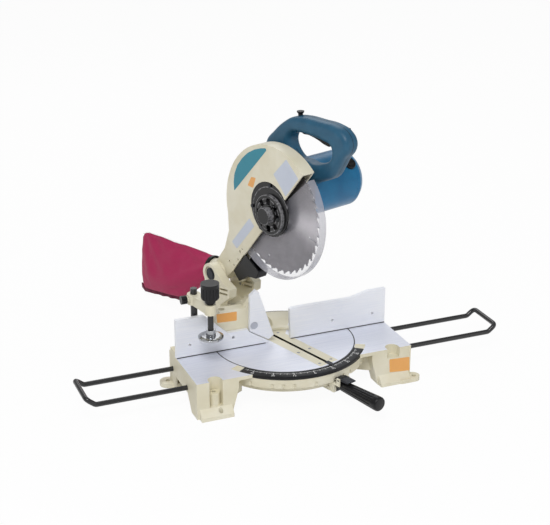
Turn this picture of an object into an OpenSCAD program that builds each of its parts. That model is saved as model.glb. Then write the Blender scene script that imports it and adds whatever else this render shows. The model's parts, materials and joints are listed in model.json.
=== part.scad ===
// Compound mitre saw on a cast stand, with rod work holders, a screw vise and a dust bag.
// Millimetres. The origin is midway between the two rear bench bolts on the bench, +X to the user's right,
// +Y away from the user, +Z up.

/* [Stand] */
// Width of the stand from wing to wing
base_w = 476; // [440:1:500]
// Height of the table above the bench
table_h = 79; // [76:1:86]
// Front edge of the wings, ahead of the turning axis
wing_front = 125; // [118:1:132]
// Rear edge of the wings, behind the turning axis
wing_rear = 48; // [40:1:52]
// Thickness of the cast walls
wall = 6; // [4:0.5:7]
// Thickness of the cast table plates
table_t = 8; // [6:0.5:10]
// Width of the front rim round the seat of the disc
rim_w = 21.8; // [18:0.2:25]
// Height of the front rim
rim_h = 25; // [20:1:25]
// Right and rear bench bolts, distance from the middle plane
bolt_x = 244; // [236:1:250]
// Left front bench bolt, distance from the middle plane
bolt_left = 190; // [180:1:200]
// Front bench bolts, ahead of the turning axis
bolt_front = 131; // [129:0.5:133]
// Rear bench bolts, behind the turning axis
bolt_rear = 45; // [40:1:56]
// Radius of the bench bolt holes
bolt_hole_r = 4.5; // [3.5:0.25:5.5]
// Thickness of the foot flanges
foot_t = 10; // [8:0.5:14]

/* [Table] */
// Radius of the turning disc
disc_r = 149; // [144:0.5:150]
// Thickness of the turning disc
disc_t = 10; // [8:0.5:12]
// Mitre angle that is set, the front to the right
mitre_set = 18; // [-45:1:45]
// Half width of the kerf between the boards
kerf_half = 3.5; // [2.5:0.25:5]
// Width of one kerf board
board_w = 20; // [16:0.5:24]
// Thickness of the kerf boards
board_t = 4; // [3:0.5:5]
// Radius of the centre pivot bolt
pivot_bolt_r = 8; // [6:0.5:9]
// Radius of the bevel bolt
bevel_bolt_r = 8; // [6:0.5:9]
// Height of the lock grip's axis above the bench
grip_z = 44; // [43:0.5:45]
// Length of the lock grip
grip_len = 119; // [90:1:130]
// Radius of the lock grip at its tip
grip_r = 15; // [12:0.5:17]

/* [Fence] */
// Height of the left fence above the table
fence_left_h = 86; // [76:1:92]
// Height of the right fence above the table
fence_right_h = 81; // [72:1:81]
// Thickness of the fence plates
fence_t = 9; // [7:0.5:10]
// Height of the ledge under the swung sub-fence
ledge_h = 39; // [36:0.5:40]
// Height of the sub-fence above the table
sub_fence_h = 125; // [112:1:126]

/* [Head] */
// Head pivot behind the turning axis
pivot_y = 195; // [190:0.5:198]
// Head pivot above the bench
pivot_z = 180; // [178:0.5:182]
// Length from the head pivot to the spindle
arm_len = 250; // [248:0.5:254]
// Angle by which the head is raised
raise_set = 46; // [0:1:46]
// Radius of the pivot shaft
shaft_r = 10; // [8:0.25:11]
// Diameter of the saw blade
blade_d = 260; // [250:1:260]
// Thickness of the saw blade
blade_t = 2.4; // [1.8:0.1:2.8]
// Number of teeth of the saw blade
blade_teeth = 40; // [24:1:60]
// Room between the blade and the outside of the safety cover
guard_clear = 10; // [8:0.5:11]
// Room between the blade and the outside of the blade case
case_clear = 15; // [14:0.5:18]
// Thickness of the blade case walls
case_wall = 3.5; // [2.5:0.25:3.5]

/* [Motor] */
// Module of the gear pair
gear_m = 1.75; // [1.6:0.05:1.8]
// Teeth of the pinion
pinion_n = 11; // [11:1:12]
// Teeth of the drive gear
gear_n = 36; // [34:1:38]
// Outer radius of the motor housing
motor_r = 60; // [58:0.5:62]
// Wall of the motor housing
motor_wall = 5; // [3:0.5:6]
// Length of the motor housing
motor_len = 118; // [108:1:124]
// Radius of the armature shaft
rotor_shaft_r = 5; // [4:0.25:6]
// Radius of the spindle
spindle_r = 9; // [8:0.25:10]
// Thickness of the handle across both halves
handle_w = 36; // [32:1:38]
// Width of the handle's bar
handle_bar = 26; // [25:0.5:30]

/* [Vise and holders] */
// Radius of the vise post
post_r = 7; // [6:0.25:8]
// Radius of the vise pad
pad_r = 26; // [20:0.5:28]
// Height of the vise pad above the table
pad_rise = 56; // [20:1:60]
// Radius of the holder rods
rod_r = 5.25; // [4:0.25:6]
// Reach of the left holder from the middle plane
left_reach = 446; // [400:1:460]
// Reach of the right holder from the middle plane
right_reach = 480; // [400:1:490]
// Distance between the two legs of a holder
rod_pitch = 92; // [84:1:96]

/* [Fits] */
// Radial play of turning fits
run = 0.05; // [0.02:0.01:0.1]
// Gap between pieces of different bodies
gap = 0.3; // [0.2:0.05:0.5]
// Radial gap around the turning disc
disc_gap = 1.2; // [0.8:0.1:2]

/* [Hidden] */
$fn = 48;
big = 600;
bar_swell = 0.4;

// Colours
cream = "#DDD7C0";
silver = "#C8CAD4";
steel = "#9A9CA2";
black = "#1C1C20";
blue = "#2F6E96";
crimson = "#9A2450";
clear_grey = "#C9CCD0";
dark_steel = "#55575C";

// The middle of the rear bench bolts lies on the origin
axis_y = -bolt_rear;

// Stand
half_w = base_w / 2;
seat_r = disc_r + disc_gap;
seat_wall_r = seat_r + wall;
rim_r = seat_r + rim_w;
seat_wall_z = 38;
rim_top = table_h - 2;
rim_z = rim_top - rim_h;
skirt_z = 34;
leg_w = 90;
leg_d = 34;
notch_x = half_w - 41;
notch_w = 28;
notch_d = 22;
notch_z = 22;
right_notch_z = table_h - 22;
leg_web_at = 57;
leg_web_out = 188;
leg_web_z = 26;
boss_hole_r = 4;
boss_h = 29;
hub_r = 30;
hub_top = 40;
beam_z = 18;
beam_h = 16;
beam_half = 20;
seat_lip = 2;
scale_in = seat_r + seat_lip + 1;
scale_out = rim_r - 2;
scale_t = 1.2;
scale_reach = 59;
stop_angles = [-45, -30, -22.5, -15, 0, 15, 22.5, 30, 45];
stop_r = 3;

// Holders
rod_z = 44;
rod_y = -18;
rod_ys = [rod_y - rod_pitch / 2, rod_y + rod_pitch / 2];
rod_inside = 38;
rod_lift = 14;
bend_swell = 0.35;
guide_r = rod_r + 4.5;
guide_len = 33;

// Fence
tower_x = [-150, -84];
tower_y = fence_t + 25;
tower_h = 84;
tower_hole = [-130, 24];
foot_in = 157;
foot_d = 32;
foot_h = 10;
bridge_r = 56;
bridge_w = 12;
bridge_h = 6;
table_gap = 0.8;
facing_x = [113, half_w - 30];
facing_z = table_h + 26;
facing_r = 3;
fence_bolt_x = [half_w - 66, half_w - 26];
fence_bolt_y = 30;
fence_bolt_r = 4;
left_end = -36;
sub_pin = [-66, 124];
sub_pin_r = 5;

// Vise
post_in = 48;
post = [-half_w + post_in, 22];
post_top = table_h + 142;
screw_at = [post[0] + 13, post[1] - 64];
screw_r = 6;
vise_arm_z = table_h + 108;
vise_arm_h = 22;
pad_z = table_h + pad_rise;
pad_t = 7;
pad_socket_h = 12;
screw_bottom = pad_z + pad_t + 1;
knob_z = vise_arm_z + vise_arm_h + 12;
knob_r = 19;
knob_h = 34;

// Table
web_half = 22;
web_end = 70;
front_half = 14;
front_arm_z = 28;
front_arm_top = seat_wall_z - 2;
front_arm_end = rim_r + 1;
front_boss_top = rim_z - 1.5;
front_boss_in = seat_wall_r + 1.6;
lock_rod_r = 5;
kerf_front = disc_r - 6;
kerf_rear = 48;
channel_half = kerf_half + 3.5;
channel_z = 46;
neck_half = 34;
bevel_r = 30;
bevel_front = 71;
bevel_face = 155;
bevel_head_r = 13;
bevel_head_t = 6;
bevel_seat = bevel_front + 9;
lever_z = grip_z + 15;
lever_y = rim_r + 13;
lever_half = front_half - 3.4;
lever_pin_r = 2;
bolt_head_r = 12;
bolt_head_t = 5;

// Arm
arm_boss_r = 34;
arm_back = 190;
ear_in = 24;
ear_out = 44;
ear_r = 24;
pin_at = [-20, -34];
pin_r = 4;
low_angle = 4;

// Head, in its lowered place
spindle_y = pivot_y - arm_len;
spindle_z = pivot_z;
back = -arm_len;
blade_r = blade_d / 2;
guard_r = blade_r + guard_clear;
case_r = blade_r + case_clear;
case_left = -17;
case_right = 14;
case_in_r = case_r - case_wall;
open_c = [3, 10];
open_r = 58;
cover_boss_r = 44;
neck_r = 22;
neck_right = 12;
flange_r = 26;
arbor_r = 12.7;
guard_left = -9.5;
guard_right = 8.5;
guard_t = 2.5;
guard_edge = -3;
nose_r = 18;
nose_x = -38;
hub_x = -24;
hub_cap_r = 42;
nozzle_tilt = 38;
nozzle_r = 19;
nozzle_wall = 2.5;
nozzle_len = 50;

// Gears and motor
gear_c = gear_m * (pinion_n + gear_n) / 2;
gear_angle = 37.6;
motor_at = [gear_c * cos(gear_angle), gear_c * sin(gear_angle)];
gear_pa = 25;
gear_add = 0.85 * gear_m;
gear_ded = 1.2 * gear_m;
gear_back = 0.16;
gear_x0 = 24;
gear_x1 = 36;
box_left = case_right + 0.1;
box_wall = 9;
box_right = 48;
gear_room = gear_m * gear_n / 2 + gear_add + 2;
box_r = gear_room + 5;
motor_x0 = box_right + 0.1;
motor_x1 = motor_x0 + motor_len;
cap_len = 20;
motor_end = motor_x1 + cap_len;
stator_r = motor_r - motor_wall;
stator_in = 26;
core_x0 = motor_x0 + 32;
core_x1 = core_x0 + 54;
core_r = stator_in - 1.5;
comm_r = 13;
comm_x0 = motor_x1 - 16;
comm_x1 = motor_x1 - 2;
brush_x = (comm_x0 + comm_x1) / 2;
brush_w = 7;
brush_h = 10;
fan_x0 = motor_x0 + 8;
fan_x1 = motor_x0 + 20;
fan_r = 42;
fan_blades = 12;
bearing_r = 17.5;
rotor_bearing_r = 11;
lock_at = -25 * [cos(gear_angle), sin(gear_angle)];
lock_r = 3.5;
lock_holes = 4;

// Handle
handle_x = 50;
bar_from = [138, 124];
bar_to = [234, 32];
bar_dir = (bar_to - bar_from) / norm(bar_to - bar_from);
bar_angle = atan2(bar_dir[1], bar_dir[0]);
nose_at = [231, 17];
nose_w = 54;
rail_from = [222, -2];
rail_mid = [144, -9];
rail_to = [76, 42];
rail_w = 27;
post_top_at = [84, 124];
post_foot = [64, 72];
post_w = 33;
saddle_w = 9;
round_cut = 5;
trigger_at = 54;
trigger_len = 48;
trigger_w = 16;
trigger_out = 11;
trigger_in = 6;
trigger_travel = 5;
switch_len = 42;
switch_w = 20;
switch_h = 9;
button_at = 8;
button_r = 5;
button_travel = 4;
screw_head_r = 3.5;

// Spring that raises the head
spring_wire = 1.5;
spring_mean = shaft_r + 4.5;
spring_turns = 2.5;
spring_pitch = 3.45;
spring_rings = 8;
spring_sides = 6;

// Frames
module in_place() {
    translate([0, axis_y, 0]) children();
}

module on_table() {
    rotate([0, 0, mitre_set]) children();
}

module on_head() {
    on_table() translate([0, pivot_y, pivot_z]) rotate([-raise_set, 0, 0])
        translate([0, -pivot_y, -pivot_z]) children();
}

module on_nozzle() {
    on_head() translate([0, pivot_y, pivot_z]) rotate([nozzle_tilt, 0, 0]) children();
}

// The plane of the blade: first axis ahead of the spindle, second axis above it
module in_side(x) {
    translate([x, spindle_y, spindle_z]) rotate([90, 0, -90]) children();
}

module side(x0, x1) {
    in_side(x1) linear_extrude(x1 - x0) children();
}

// A shape drawn across and up, pushed from y0 back to y1
module upright(y0, y1) {
    translate([0, y1, 0]) rotate([90, 0, 0]) linear_extrude(y1 - y0) children();
}

// A shape drawn back and up, pushed from x0 right to x1
module profile(x0, x1) {
    translate([x0, 0, 0]) rotate([90, 0, 90]) linear_extrude(x1 - x0) children();
}

module slab(z0, z1) {
    translate([0, 0, z0]) linear_extrude(z1 - z0) children();
}

module along_y(y0, y1, r) {
    translate([0, y0, 0]) rotate([-90, 0, 0]) cylinder(h = y1 - y0, r = r);
}

module along_x(x0, x1, r) {
    translate([x0, 0, 0]) rotate([0, 90, 0]) cylinder(h = x1 - x0, r = r);
}

module rod(p, q, r) {
    v = q - p;
    translate(p) rotate([0, acos(v[2] / norm(v)), atan2(v[1], v[0])]) cylinder(h = norm(v), r = r);
}

// A bar with round ends, which stand a little proud so that the outlines cross
module bar2d(p, q, w) {
    d = q - p;
    translate(p) rotate(atan2(d[1], d[0])) translate([0, -w / 2]) square([norm(d), w]);
    translate(p) circle(d = w + bar_swell);
    translate(q) circle(d = w + bar_swell);
}

module ring2d(r_out, r_in) {
    difference() {
        circle(r_out);
        circle(r_in);
    }
}

module both_sides() {
    children();
    mirror([1, 0, 0]) children();
}

// Stand
module front_leg_shape() {
    polygon([[half_w, 0], [half_w, table_h], [half_w - leg_w, table_h], [half_w - leg_w, rim_z + 4],
        [half_w - leg_w + 15, 0]]);
}

module side_shape() {
    polygon([[-wing_front, 0], [-wing_front, table_h], [wing_rear, table_h], [wing_rear, 0],
        [wing_rear - 28, 0], [wing_rear - 36, skirt_z], [-wing_front + 58, skirt_z],
            [-wing_front + leg_d, 0]]);
}

module notch_block() {
    translate([notch_x - notch_w / 2 - wall, -wing_front, 0])
        cube([notch_w + 2 * wall, notch_d + wall, table_h]);
}

module notch_cut(floor_z) {
    round_y = -wing_front + notch_d - notch_w / 2;
    translate([notch_x - notch_w / 2, -wing_front - 1, floor_z])
        cube([notch_w, notch_d - notch_w / 2 + 1, big]);
    translate([notch_x, round_y, floor_z]) cylinder(h = big, d = notch_w);
}

module at_notch_boss() {
    translate([notch_x, -wing_front + notch_d - 7, 0]) children();
}

module half_stand() {
    slab(table_h - table_t, table_h) difference() {
        translate([0, -wing_front]) square([half_w, wing_front + wing_rear]);
        circle(seat_r);
    }
    profile(half_w - wall, half_w) side_shape();
    difference() {
        upright(-wing_front, -wing_front + leg_d) front_leg_shape();
        translate([0, 0, foot_t]) upright(-wing_front + wall, -wing_front + leg_d + 1) intersection() {
            translate([-wall, -wall - foot_t]) front_leg_shape();
            translate([half_w - leg_w + wall + 8, 0]) square([leg_w - 2 * wall - 8,
                table_h - foot_t - table_t]);
        }
    }
    notch_block();
    // web that ties the leg to the ring of the seat, behind the sweep of the lock arm
    rotate(leg_web_at) translate([-wall / 2, -leg_web_out, leg_web_z])
        cube([wall, leg_web_out - seat_wall_r + 2, table_h - table_t - leg_web_z + 1]);
    upright(wing_rear - wall, wing_rear) translate([half_w - 40, 0]) square([40, table_h]);
    profile(half_w - leg_w + 16, half_w - 5) polygon([[-wing_front + 1, 0], [-bolt_front - 8, 0],
        [-bolt_front - 8, foot_t - 2], [-wing_front, foot_t + 12], [-wing_front + 1, foot_t + 12]]);
    slab(0, foot_t) bar2d([half_w - 20, bolt_rear - 8], [bolt_x, bolt_rear], 34);
    for (y = rod_ys)
        translate([0, y, rod_z]) along_x(half_w - guide_len, half_w, guide_r);
    translate([seat_r + 1, -beam_half, beam_z]) cube([14, 2 * beam_half, table_h - beam_z]);
}

module base() {
    color(cream) difference() {
        union() {
            both_sides() half_stand();
            slab(0, foot_t) bar2d([half_w - 22, -bolt_front + 3], [bolt_x, -bolt_front + 3], 27);
            slab(seat_wall_z, table_h) intersection() {
                ring2d(seat_wall_r, seat_r);
                translate([-big / 2, wing_rear - big]) square(big);
            }
            slab(rim_z, rim_top) intersection() {
                ring2d(rim_r, seat_r);
                translate([-big / 2, -wing_front + leg_d + 6 - big]) square(big);
            }
            translate([-seat_r - 3, -beam_half, beam_z]) cube([2 * seat_r + 6, 2 * beam_half, beam_h]);
            translate([0, 0, beam_z]) cylinder(h = hub_top - gap - beam_z, r = hub_r);
            translate([post[0], post[1], table_h - 27]) cylinder(h = 27, r = post_r + 6);
        }
        // deep notch with a boss on the left, shallow one on the right
        mirror([1, 0, 0]) {
            difference() {
                notch_cut(notch_z);
                at_notch_boss() translate([0, 0, notch_z - 1]) cylinder(h = boss_h, r = notch_w / 2 - 2);
            }
            at_notch_boss() translate([0, 0, notch_z - 4]) cylinder(h = boss_h + 10, r = boss_hole_r);
        }
        notch_cut(right_notch_z);
        // seat of the mitre scale round the front
        slab(rim_top, table_h + 1) intersection() {
            ring2d(rim_r + 0.5, seat_r + seat_lip);
            front_wedge(1.5);
        }
        slab(-1, big) circle(pivot_bolt_r + run / 2);
        for (at = [[-bolt_left, -bolt_front], [bolt_x, -bolt_front], [-bolt_x, bolt_rear], [bolt_x,
            bolt_rear]])
            translate([at[0], at[1], -1]) cylinder(h = foot_t + 20, r = bolt_hole_r);
        for (y = rod_ys)
            translate([0, y, rod_z]) {
                along_x(half_w - guide_len - 1, half_w + 1, rod_r + run);
                along_x(-half_w - 1, -half_w + guide_len + 1, rod_r + run);
            }
        for (x = fence_bolt_x, s = [-1, 1])
            translate([s * x, fence_bolt_y, table_h - table_t - 1])
                cylinder(h = table_t + 2, r = fence_bolt_r + run / 2);
        translate([post[0], post[1], table_h - 25]) cylinder(h = 30, r = post_r + run / 2);
        for (a = stop_angles)
            rotate(a) translate([0, -rim_r, rim_z - 1]) cylinder(h = 11, r = stop_r);
    }
}

// The part of the plane within the scale's reach to both sides of the front
module front_wedge(more) {
    a = scale_reach + more;
    polygon([[0, 0], big * [-sin(a), -cos(a)], [-big, -big], [big, -big], big * [sin(a), -cos(a)]]);
}

module mitre_scale() {
    color(black) slab(rim_top, rim_top + scale_t) intersection() {
        ring2d(scale_out, scale_in);
        front_wedge(0);
    }
}

module pivot_bolt() {
    color(steel) {
        translate([0, 0, beam_z]) cylinder(h = hub_top + 6 - beam_z, r = pivot_bolt_r);
        translate([0, 0, hub_top + 6]) cylinder(h = bolt_head_t, r = bolt_head_r);
        translate([0, 0, beam_z - 9]) cylinder(h = 9, r = bolt_head_r, $fn = 6);
    }
}

// Fence
module left_fence_shape() {
    top = table_h + fence_left_h;
    ledge = table_h + ledge_h;
    polygon([[-half_w, table_h], [-half_w, top], [-half_w + 62, top], [-half_w + 88, table_h + 62],
        [-half_w + 113, ledge], [-80, ledge], [-78, ledge - 6], [left_end, table_h + 6], [left_end,
            table_h]]);
}

module right_fence_shape() {
    top = table_h + fence_right_h;
    polygon([[16, table_h], [14, top - 13], [20, top - 10], [half_w - 80, top - 10], [half_w - 42, top],
        [half_w, top], [half_w, table_h]]);
}

module sub_fence_shape() {
    top = table_h + sub_fence_h;
    polygon([[-77, table_h + ledge_h + gap], [-75, top - 11], [-62, top], [-55, top - 7], [-22,
        table_h + 16],
        [-34, table_h + 8], [-75.5, table_h + ledge_h - 6 + gap]]);
}

module fence_rib(x) {
    translate([x - 3, 0, 0]) profile(0, 6)
        polygon([[fence_t - 1, table_h + 2], [fence_t - 1, table_h + 60], [fence_t + foot_d - 2,
            table_h + foot_h - 1],
            [fence_t + foot_d - 2, table_h + 2]]);
}

module guide_fence() {
    color(silver) difference() {
        union() {
            upright(0, fence_t) {
                left_fence_shape();
                right_fence_shape();
            }
            both_sides() slab(table_h, table_h + foot_h)
                translate([foot_in, fence_t - 1]) square([half_w - foot_in, foot_d]);
            for (x = [-half_w + 12, -half_w + 78, half_w - 78, half_w - 12])
                fence_rib(x);
            // tower that holds the second vise socket and backs the sub-fence
            upright(fence_t - 1, fence_t + 2) translate([tower_x[0], table_h])
                square([tower_x[1] - tower_x[0], ledge_h - 4]);
            upright(fence_t + 0.8, tower_y) polygon([[tower_x[0], table_h], [tower_x[0],
                table_h + tower_h - 22],
                [tower_x[0] + 12, table_h + tower_h], [tower_x[1], table_h + tower_h], [tower_x[1],
                    table_h]]);
            upright(fence_t + 0.8, fence_t + 12) polygon([[tower_x[1] - 1, table_h], [tower_x[1] - 1,
                table_h + tower_h],
                [-70, table_h + tower_h + 20], [-62, table_h + tower_h + 20], [-62, table_h]]);
            upright(fence_t - 1, fence_t + 12) polygon([[tower_x[1] - 1, table_h], [tower_x[1] - 1,
                table_h + 30],
                [-62, table_h + 18], [-62, table_h]]);
            slab(table_h, table_h + bridge_h) intersection() {
                ring2d(bridge_r + bridge_w / 2, bridge_r - bridge_w / 2);
                translate([-big / 2, fence_t - 2]) square(big);
            }
        }
        slab(table_h - 1, table_h + table_gap) circle(seat_r);
        for (x = facing_x, s = [-1, 1])
            translate([s * x, 0, facing_z]) along_y(-1, fence_t + 1, facing_r);
        for (x = fence_bolt_x, s = [-1, 1])
            translate([s * x, fence_bolt_y, table_h - 1]) cylinder(h = foot_h + 2, r = fence_bolt_r + run);
        translate([post[0], post[1], table_h - 1]) cylinder(h = foot_h + 2, r = post_r + run);
        translate([tower_hole[0], tower_hole[1], table_h + 30]) cylinder(h = tower_h, r = post_r + 0.1);
        translate([sub_pin[0], 0, sub_pin[1]]) along_y(fence_t, fence_t + 13, sub_pin_r + run / 2);
    }
}

module fence_bolts() {
    color(dark_steel) for (x = fence_bolt_x, s = [-1, 1])
        translate([s * x, fence_bolt_y, table_h + foot_h]) {
            difference() {
                cylinder(h = 8, r = 6.5);
                translate([0, 0, 4]) cylinder(h = 5, r = 3.4, $fn = 6);
            }
            translate([0, 0, -foot_h - table_t]) cylinder(h = foot_h + table_t, r = fence_bolt_r);
        }
}

module sub_fence() {
    color(silver) difference() {
        upright(0, fence_t) sub_fence_shape();
        translate([sub_pin[0], 0, sub_pin[1]]) {
            along_y(-1, fence_t + 1, sub_pin_r + run);
            along_y(-1, 3, sub_pin_r + 3.3);
        }
    }
}

module sub_fence_pin() {
    color(steel) translate([sub_pin[0], 0, sub_pin[1]]) {
        along_y(0.4, fence_t + 12, sub_pin_r);
        along_y(0.4, 2.7, sub_pin_r + 3);
    }
}

// Table
module turn_base() {
    color(silver) on_table() difference() {
        union() {
            slab(table_h - disc_t, table_h) circle(disc_r);
            slab(table_h - 24, table_h - disc_t) ring2d(disc_r, disc_r - wall - 2);
            slab(hub_top, table_h - disc_t) circle(hub_r);
            translate([-web_half, -front_boss_in + 18, front_arm_top - 0.5])
                cube([2 * web_half, front_boss_in - 18 - web_end, table_h - disc_t - front_arm_top + 1]);
            translate([-front_half, -front_arm_end, front_arm_z])
                cube([2 * front_half, front_arm_end - 85, front_arm_top - front_arm_z]);
            translate([-front_half, -front_arm_end, grip_z - 10])
                cube([2 * front_half, front_arm_end - front_boss_in, front_boss_top - grip_z + 10]);
            for (s = [-1, 1])
                translate([s * (front_half - 1.5) - 1.5, -lever_y - 4, grip_z + 2])
                    cube([3, lever_y + 4 - front_boss_in - 3, front_boss_top - grip_z - 2]);
            for (s = [-1, 1])
                translate([s * (front_half - 1.5) - 1.5, -lever_y - 4, grip_z + 2])
                    cube([3, 9, lever_z + 2 - grip_z]);
            translate([-neck_half, hub_r - 6, hub_top + 2])
                cube([2 * neck_half, bevel_face - hub_r + 6, table_h - disc_t - hub_top - 1]);
            translate([0, 0, table_h]) along_y(bevel_front, bevel_face, bevel_r);
            translate([-bevel_r, bevel_front, table_h - 20])
                cube([2 * bevel_r, bevel_face - bevel_front, 20]);
        }
        // recess of the kerf boards and the way of the blade
        translate([-kerf_half - board_w - 0.2, -kerf_front - 0.2, table_h - board_t])
            cube([2 * (kerf_half + board_w + 0.2), kerf_front + kerf_rear + 0.4, board_t + 1]);
        translate([-channel_half, -kerf_front + 4, channel_z])
            cube([2 * channel_half, kerf_front + kerf_rear - 8, big]);
        slab(hub_top - 1, big) circle(pivot_bolt_r + run);
        slab(hub_top + 6 - 0.1, big) circle(bolt_head_r + 0.4);
        // bore and sunk seat of the bevel bolt, and the slot ahead of it
        translate([0, 0, table_h]) along_y(bevel_front - 1, bevel_face + 1, bevel_bolt_r + run / 2);
        translate([0, 0, table_h]) along_y(bevel_front - 1, bevel_seat, bevel_head_r + 0.4);
        translate([-20, bevel_front - 13, table_h - disc_t + 3]) cube([40, 6, disc_t]);
        translate([0, 0, grip_z]) along_y(-front_arm_end - 1, -front_boss_in + 1, lock_rod_r + run);
        translate([0, -lever_y, lever_z]) along_x(-front_half - 1, front_half + 1, lever_pin_r + run);
        for (s = [-1, 1], y = board_screw_ys())
            translate([s * (kerf_half + board_w / 2 + 2), y, table_h - board_t - 6])
                cylinder(h = 7, r = 1.6);
    }
}

function board_screw_ys() = [-kerf_front + 12, -kerf_front / 2 + 6, kerf_rear - 12];

module kerf_board() {
    difference() {
        translate([kerf_half, -kerf_front, table_h - board_t])
            cube([board_w, kerf_front + kerf_rear, board_t]);
        for (y = board_screw_ys())
            translate([kerf_half + board_w / 2 + 2, y, table_h - board_t - 1]) {
                cylinder(h = board_t + 2, r = 1.6 + run);
                translate([0, 0, board_t - 1]) cylinder(h = 3, r = 3.6);
            }
    }
}

module left_kerf_board() {
    color(cream) on_table() mirror([1, 0, 0]) kerf_board();
}

module right_kerf_board() {
    color(cream) on_table() kerf_board();
}

module kerf_board_screws() {
    color(steel) on_table() both_sides() for (y = board_screw_ys())
        translate([kerf_half + board_w / 2 + 2, y, table_h - board_t - 5]) {
            cylinder(h = board_t + 4, r = 1.55);
            translate([0, 0, board_t + 3]) cylinder(h = 1.4, r = 3.3);
        }
}

module mitre_pointer() {
    color(dark_steel) on_table() {
        slab(table_h, table_h + 1.2) translate([-5, -disc_r + 1]) square([10, 13]);
        slab(table_h + 0.4, table_h + 1.2)
            polygon([[-5, -disc_r + 3], [5, -disc_r + 3], [5, -disc_r - 2], [0, -scale_in - 4], [-5,
                -disc_r - 2]]);
    }
}

module lock_grip() {
    root = front_arm_end + gap;
    steps = 7;
    pitch = (grip_len - 22) / steps;
    outline = concat(
        [[lock_rod_r + run / 2, 0], [9, 0], [10, 6], [10.5, 8]],
        [for (i = [0:steps - 1], p = [[0, 0], [pitch - 3, 0], [pitch - 3, -1], [pitch, -1]])
            [10.5 + (grip_r - 11) * (i * pitch + p[0]) / (grip_len - 22) + p[1], 8 + i * pitch + p[0]]],
        [[grip_r, grip_len - 12], [grip_r, grip_len - 4], [grip_r - 3, grip_len], [0, grip_len], [0, 60],
            [lock_rod_r + run / 2, 60]]);
    color(black) on_table() translate([0, -root, grip_z]) rotate([90, 0, 0]) rotate_extrude()
        polygon(outline);
}

module lock_rod() {
    color(steel) on_table() translate([0, 0, grip_z])
        along_y(-front_arm_end - gap - 58, -seat_wall_r - gap, lock_rod_r);
}

module stop_lever() {
    color(silver) on_table() difference() {
        translate([0, -lever_y, lever_z]) {
            along_x(-lever_half, lever_half, 4);
            profile(-lever_half, lever_half)
                polygon([[-26, 1], [-26, 3.4], [-4, 4], [4, 4], [11.6, 2], [12.4, 0], [11.6, -1.5], [0,
                    -4], [-6, -1]]);
        }
        translate([0, -lever_y, lever_z]) along_x(-lever_half - 1, lever_half + 1, lever_pin_r + run);
    }
    color(steel) on_table() translate([0, -lever_y, lever_z]) along_x(-front_half, front_half, lever_pin_r);
}

// Arm
module ear_shape() {
    difference() {
        union() {
            polygon([[bevel_face + 5, table_h + 10], [bevel_face + 5, table_h + 40], [128, pivot_z - 36],
                [126, pivot_z - 16], [150, pivot_z - 6], [pivot_y - 14, pivot_z + 18], [pivot_y, pivot_z],
                [pivot_y + 20, pivot_z + 10], [pivot_y + 18, pivot_z - 30], [arm_back, table_h + 10]]);
            translate([pivot_y, pivot_z]) circle(ear_r);
        }
        translate([pivot_y, pivot_z]) circle(shaft_r + run / 2);
        // two cast slots in the front of the ear
        for (z = [pivot_z - 30, pivot_z - 20])
            bar2d([136, z], [162, z - 4], 4.5);
    }
}

module arm() {
    color(cream) on_table() difference() {
        union() {
            translate([0, 0, table_h]) along_y(bevel_face + gap, arm_back, arm_boss_r);
            both_sides() profile(ear_in, ear_out) ear_shape();
            profile(-ear_out, ear_out) polygon([[bevel_face + 6, table_h + 8], [bevel_face + 6,
                table_h + 33],
                [pivot_y - 6, table_h + 37], [pivot_y + 6, pivot_z - 40], [pivot_y + 17, pivot_z - 40],
                [arm_back, table_h + 26], [arm_back, table_h + 8]]);
        }
        translate([0, 0, table_h]) along_y(bevel_face - 1, arm_back + 1, bevel_bolt_r + run);
        translate([0, pivot_y, pivot_z]) {
            along_x(-ear_out - 1, -ear_out + 5, 17);
            along_x(ear_out - 5, ear_out + 1, 17);
        }
        translate([0, pivot_y + pin_at[0], pivot_z + pin_at[1]])
            along_x(ear_in - 1, ear_out + 1, pin_r + run);
    }
}

module bevel_bolt() {
    color(steel) on_table() translate([0, 0, table_h]) {
        along_y(bevel_seat, arm_back + 14, bevel_bolt_r);
        along_y(bevel_seat - bevel_head_t, bevel_seat, bevel_head_r);
    }
}

module bevel_lock_lever() {
    color(black) on_table() translate([0, 0, table_h]) difference() {
        union() {
            along_y(arm_back + gap, arm_back + 13, 15);
            rotate([0, 37, 0]) translate([0, arm_back + 7, 0]) {
                along_x(0, 62, 5.5);
                translate([62, 0, 0]) sphere(8);
            }
        }
        along_y(arm_back - 1, arm_back + 20, bevel_bolt_r + run);
    }
}

module pivot_shaft() {
    color(steel) on_table() translate([0, pivot_y, pivot_z]) {
        along_x(-ear_out + 0.5, ear_out - 0.5, shaft_r);
        for (x = [-ear_out + 1.6, ear_out - 3])
            difference() {
                along_x(x, x + 1.4, shaft_r + 3.5);
                along_x(x - 1, x + 3, shaft_r - 1);
            }
    }
}

// One unbroken round wire wound about the pivot shaft
function spring_at(t) = [spring_pitch * t, spring_mean * cos(360 * t), spring_mean * sin(360 * t)];
spring_steps = spring_turns * spring_rings;
spring_path = [for (i = [0:spring_steps]) spring_at(i / spring_rings)];
spring_space = spring_pitch - 2 * spring_wire;
echo(spring_self_gap = spring_space);

function spring_ring(i) = let (a = 360 * i / spring_rings, out = [0, cos(a), sin(a)], flat = [1, 0, 0])
    [for (k = [0:spring_sides - 1]) spring_path[i]
        + spring_wire * (cos(360 * k / spring_sides) * out + sin(360 * k / spring_sides) * flat)];

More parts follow.
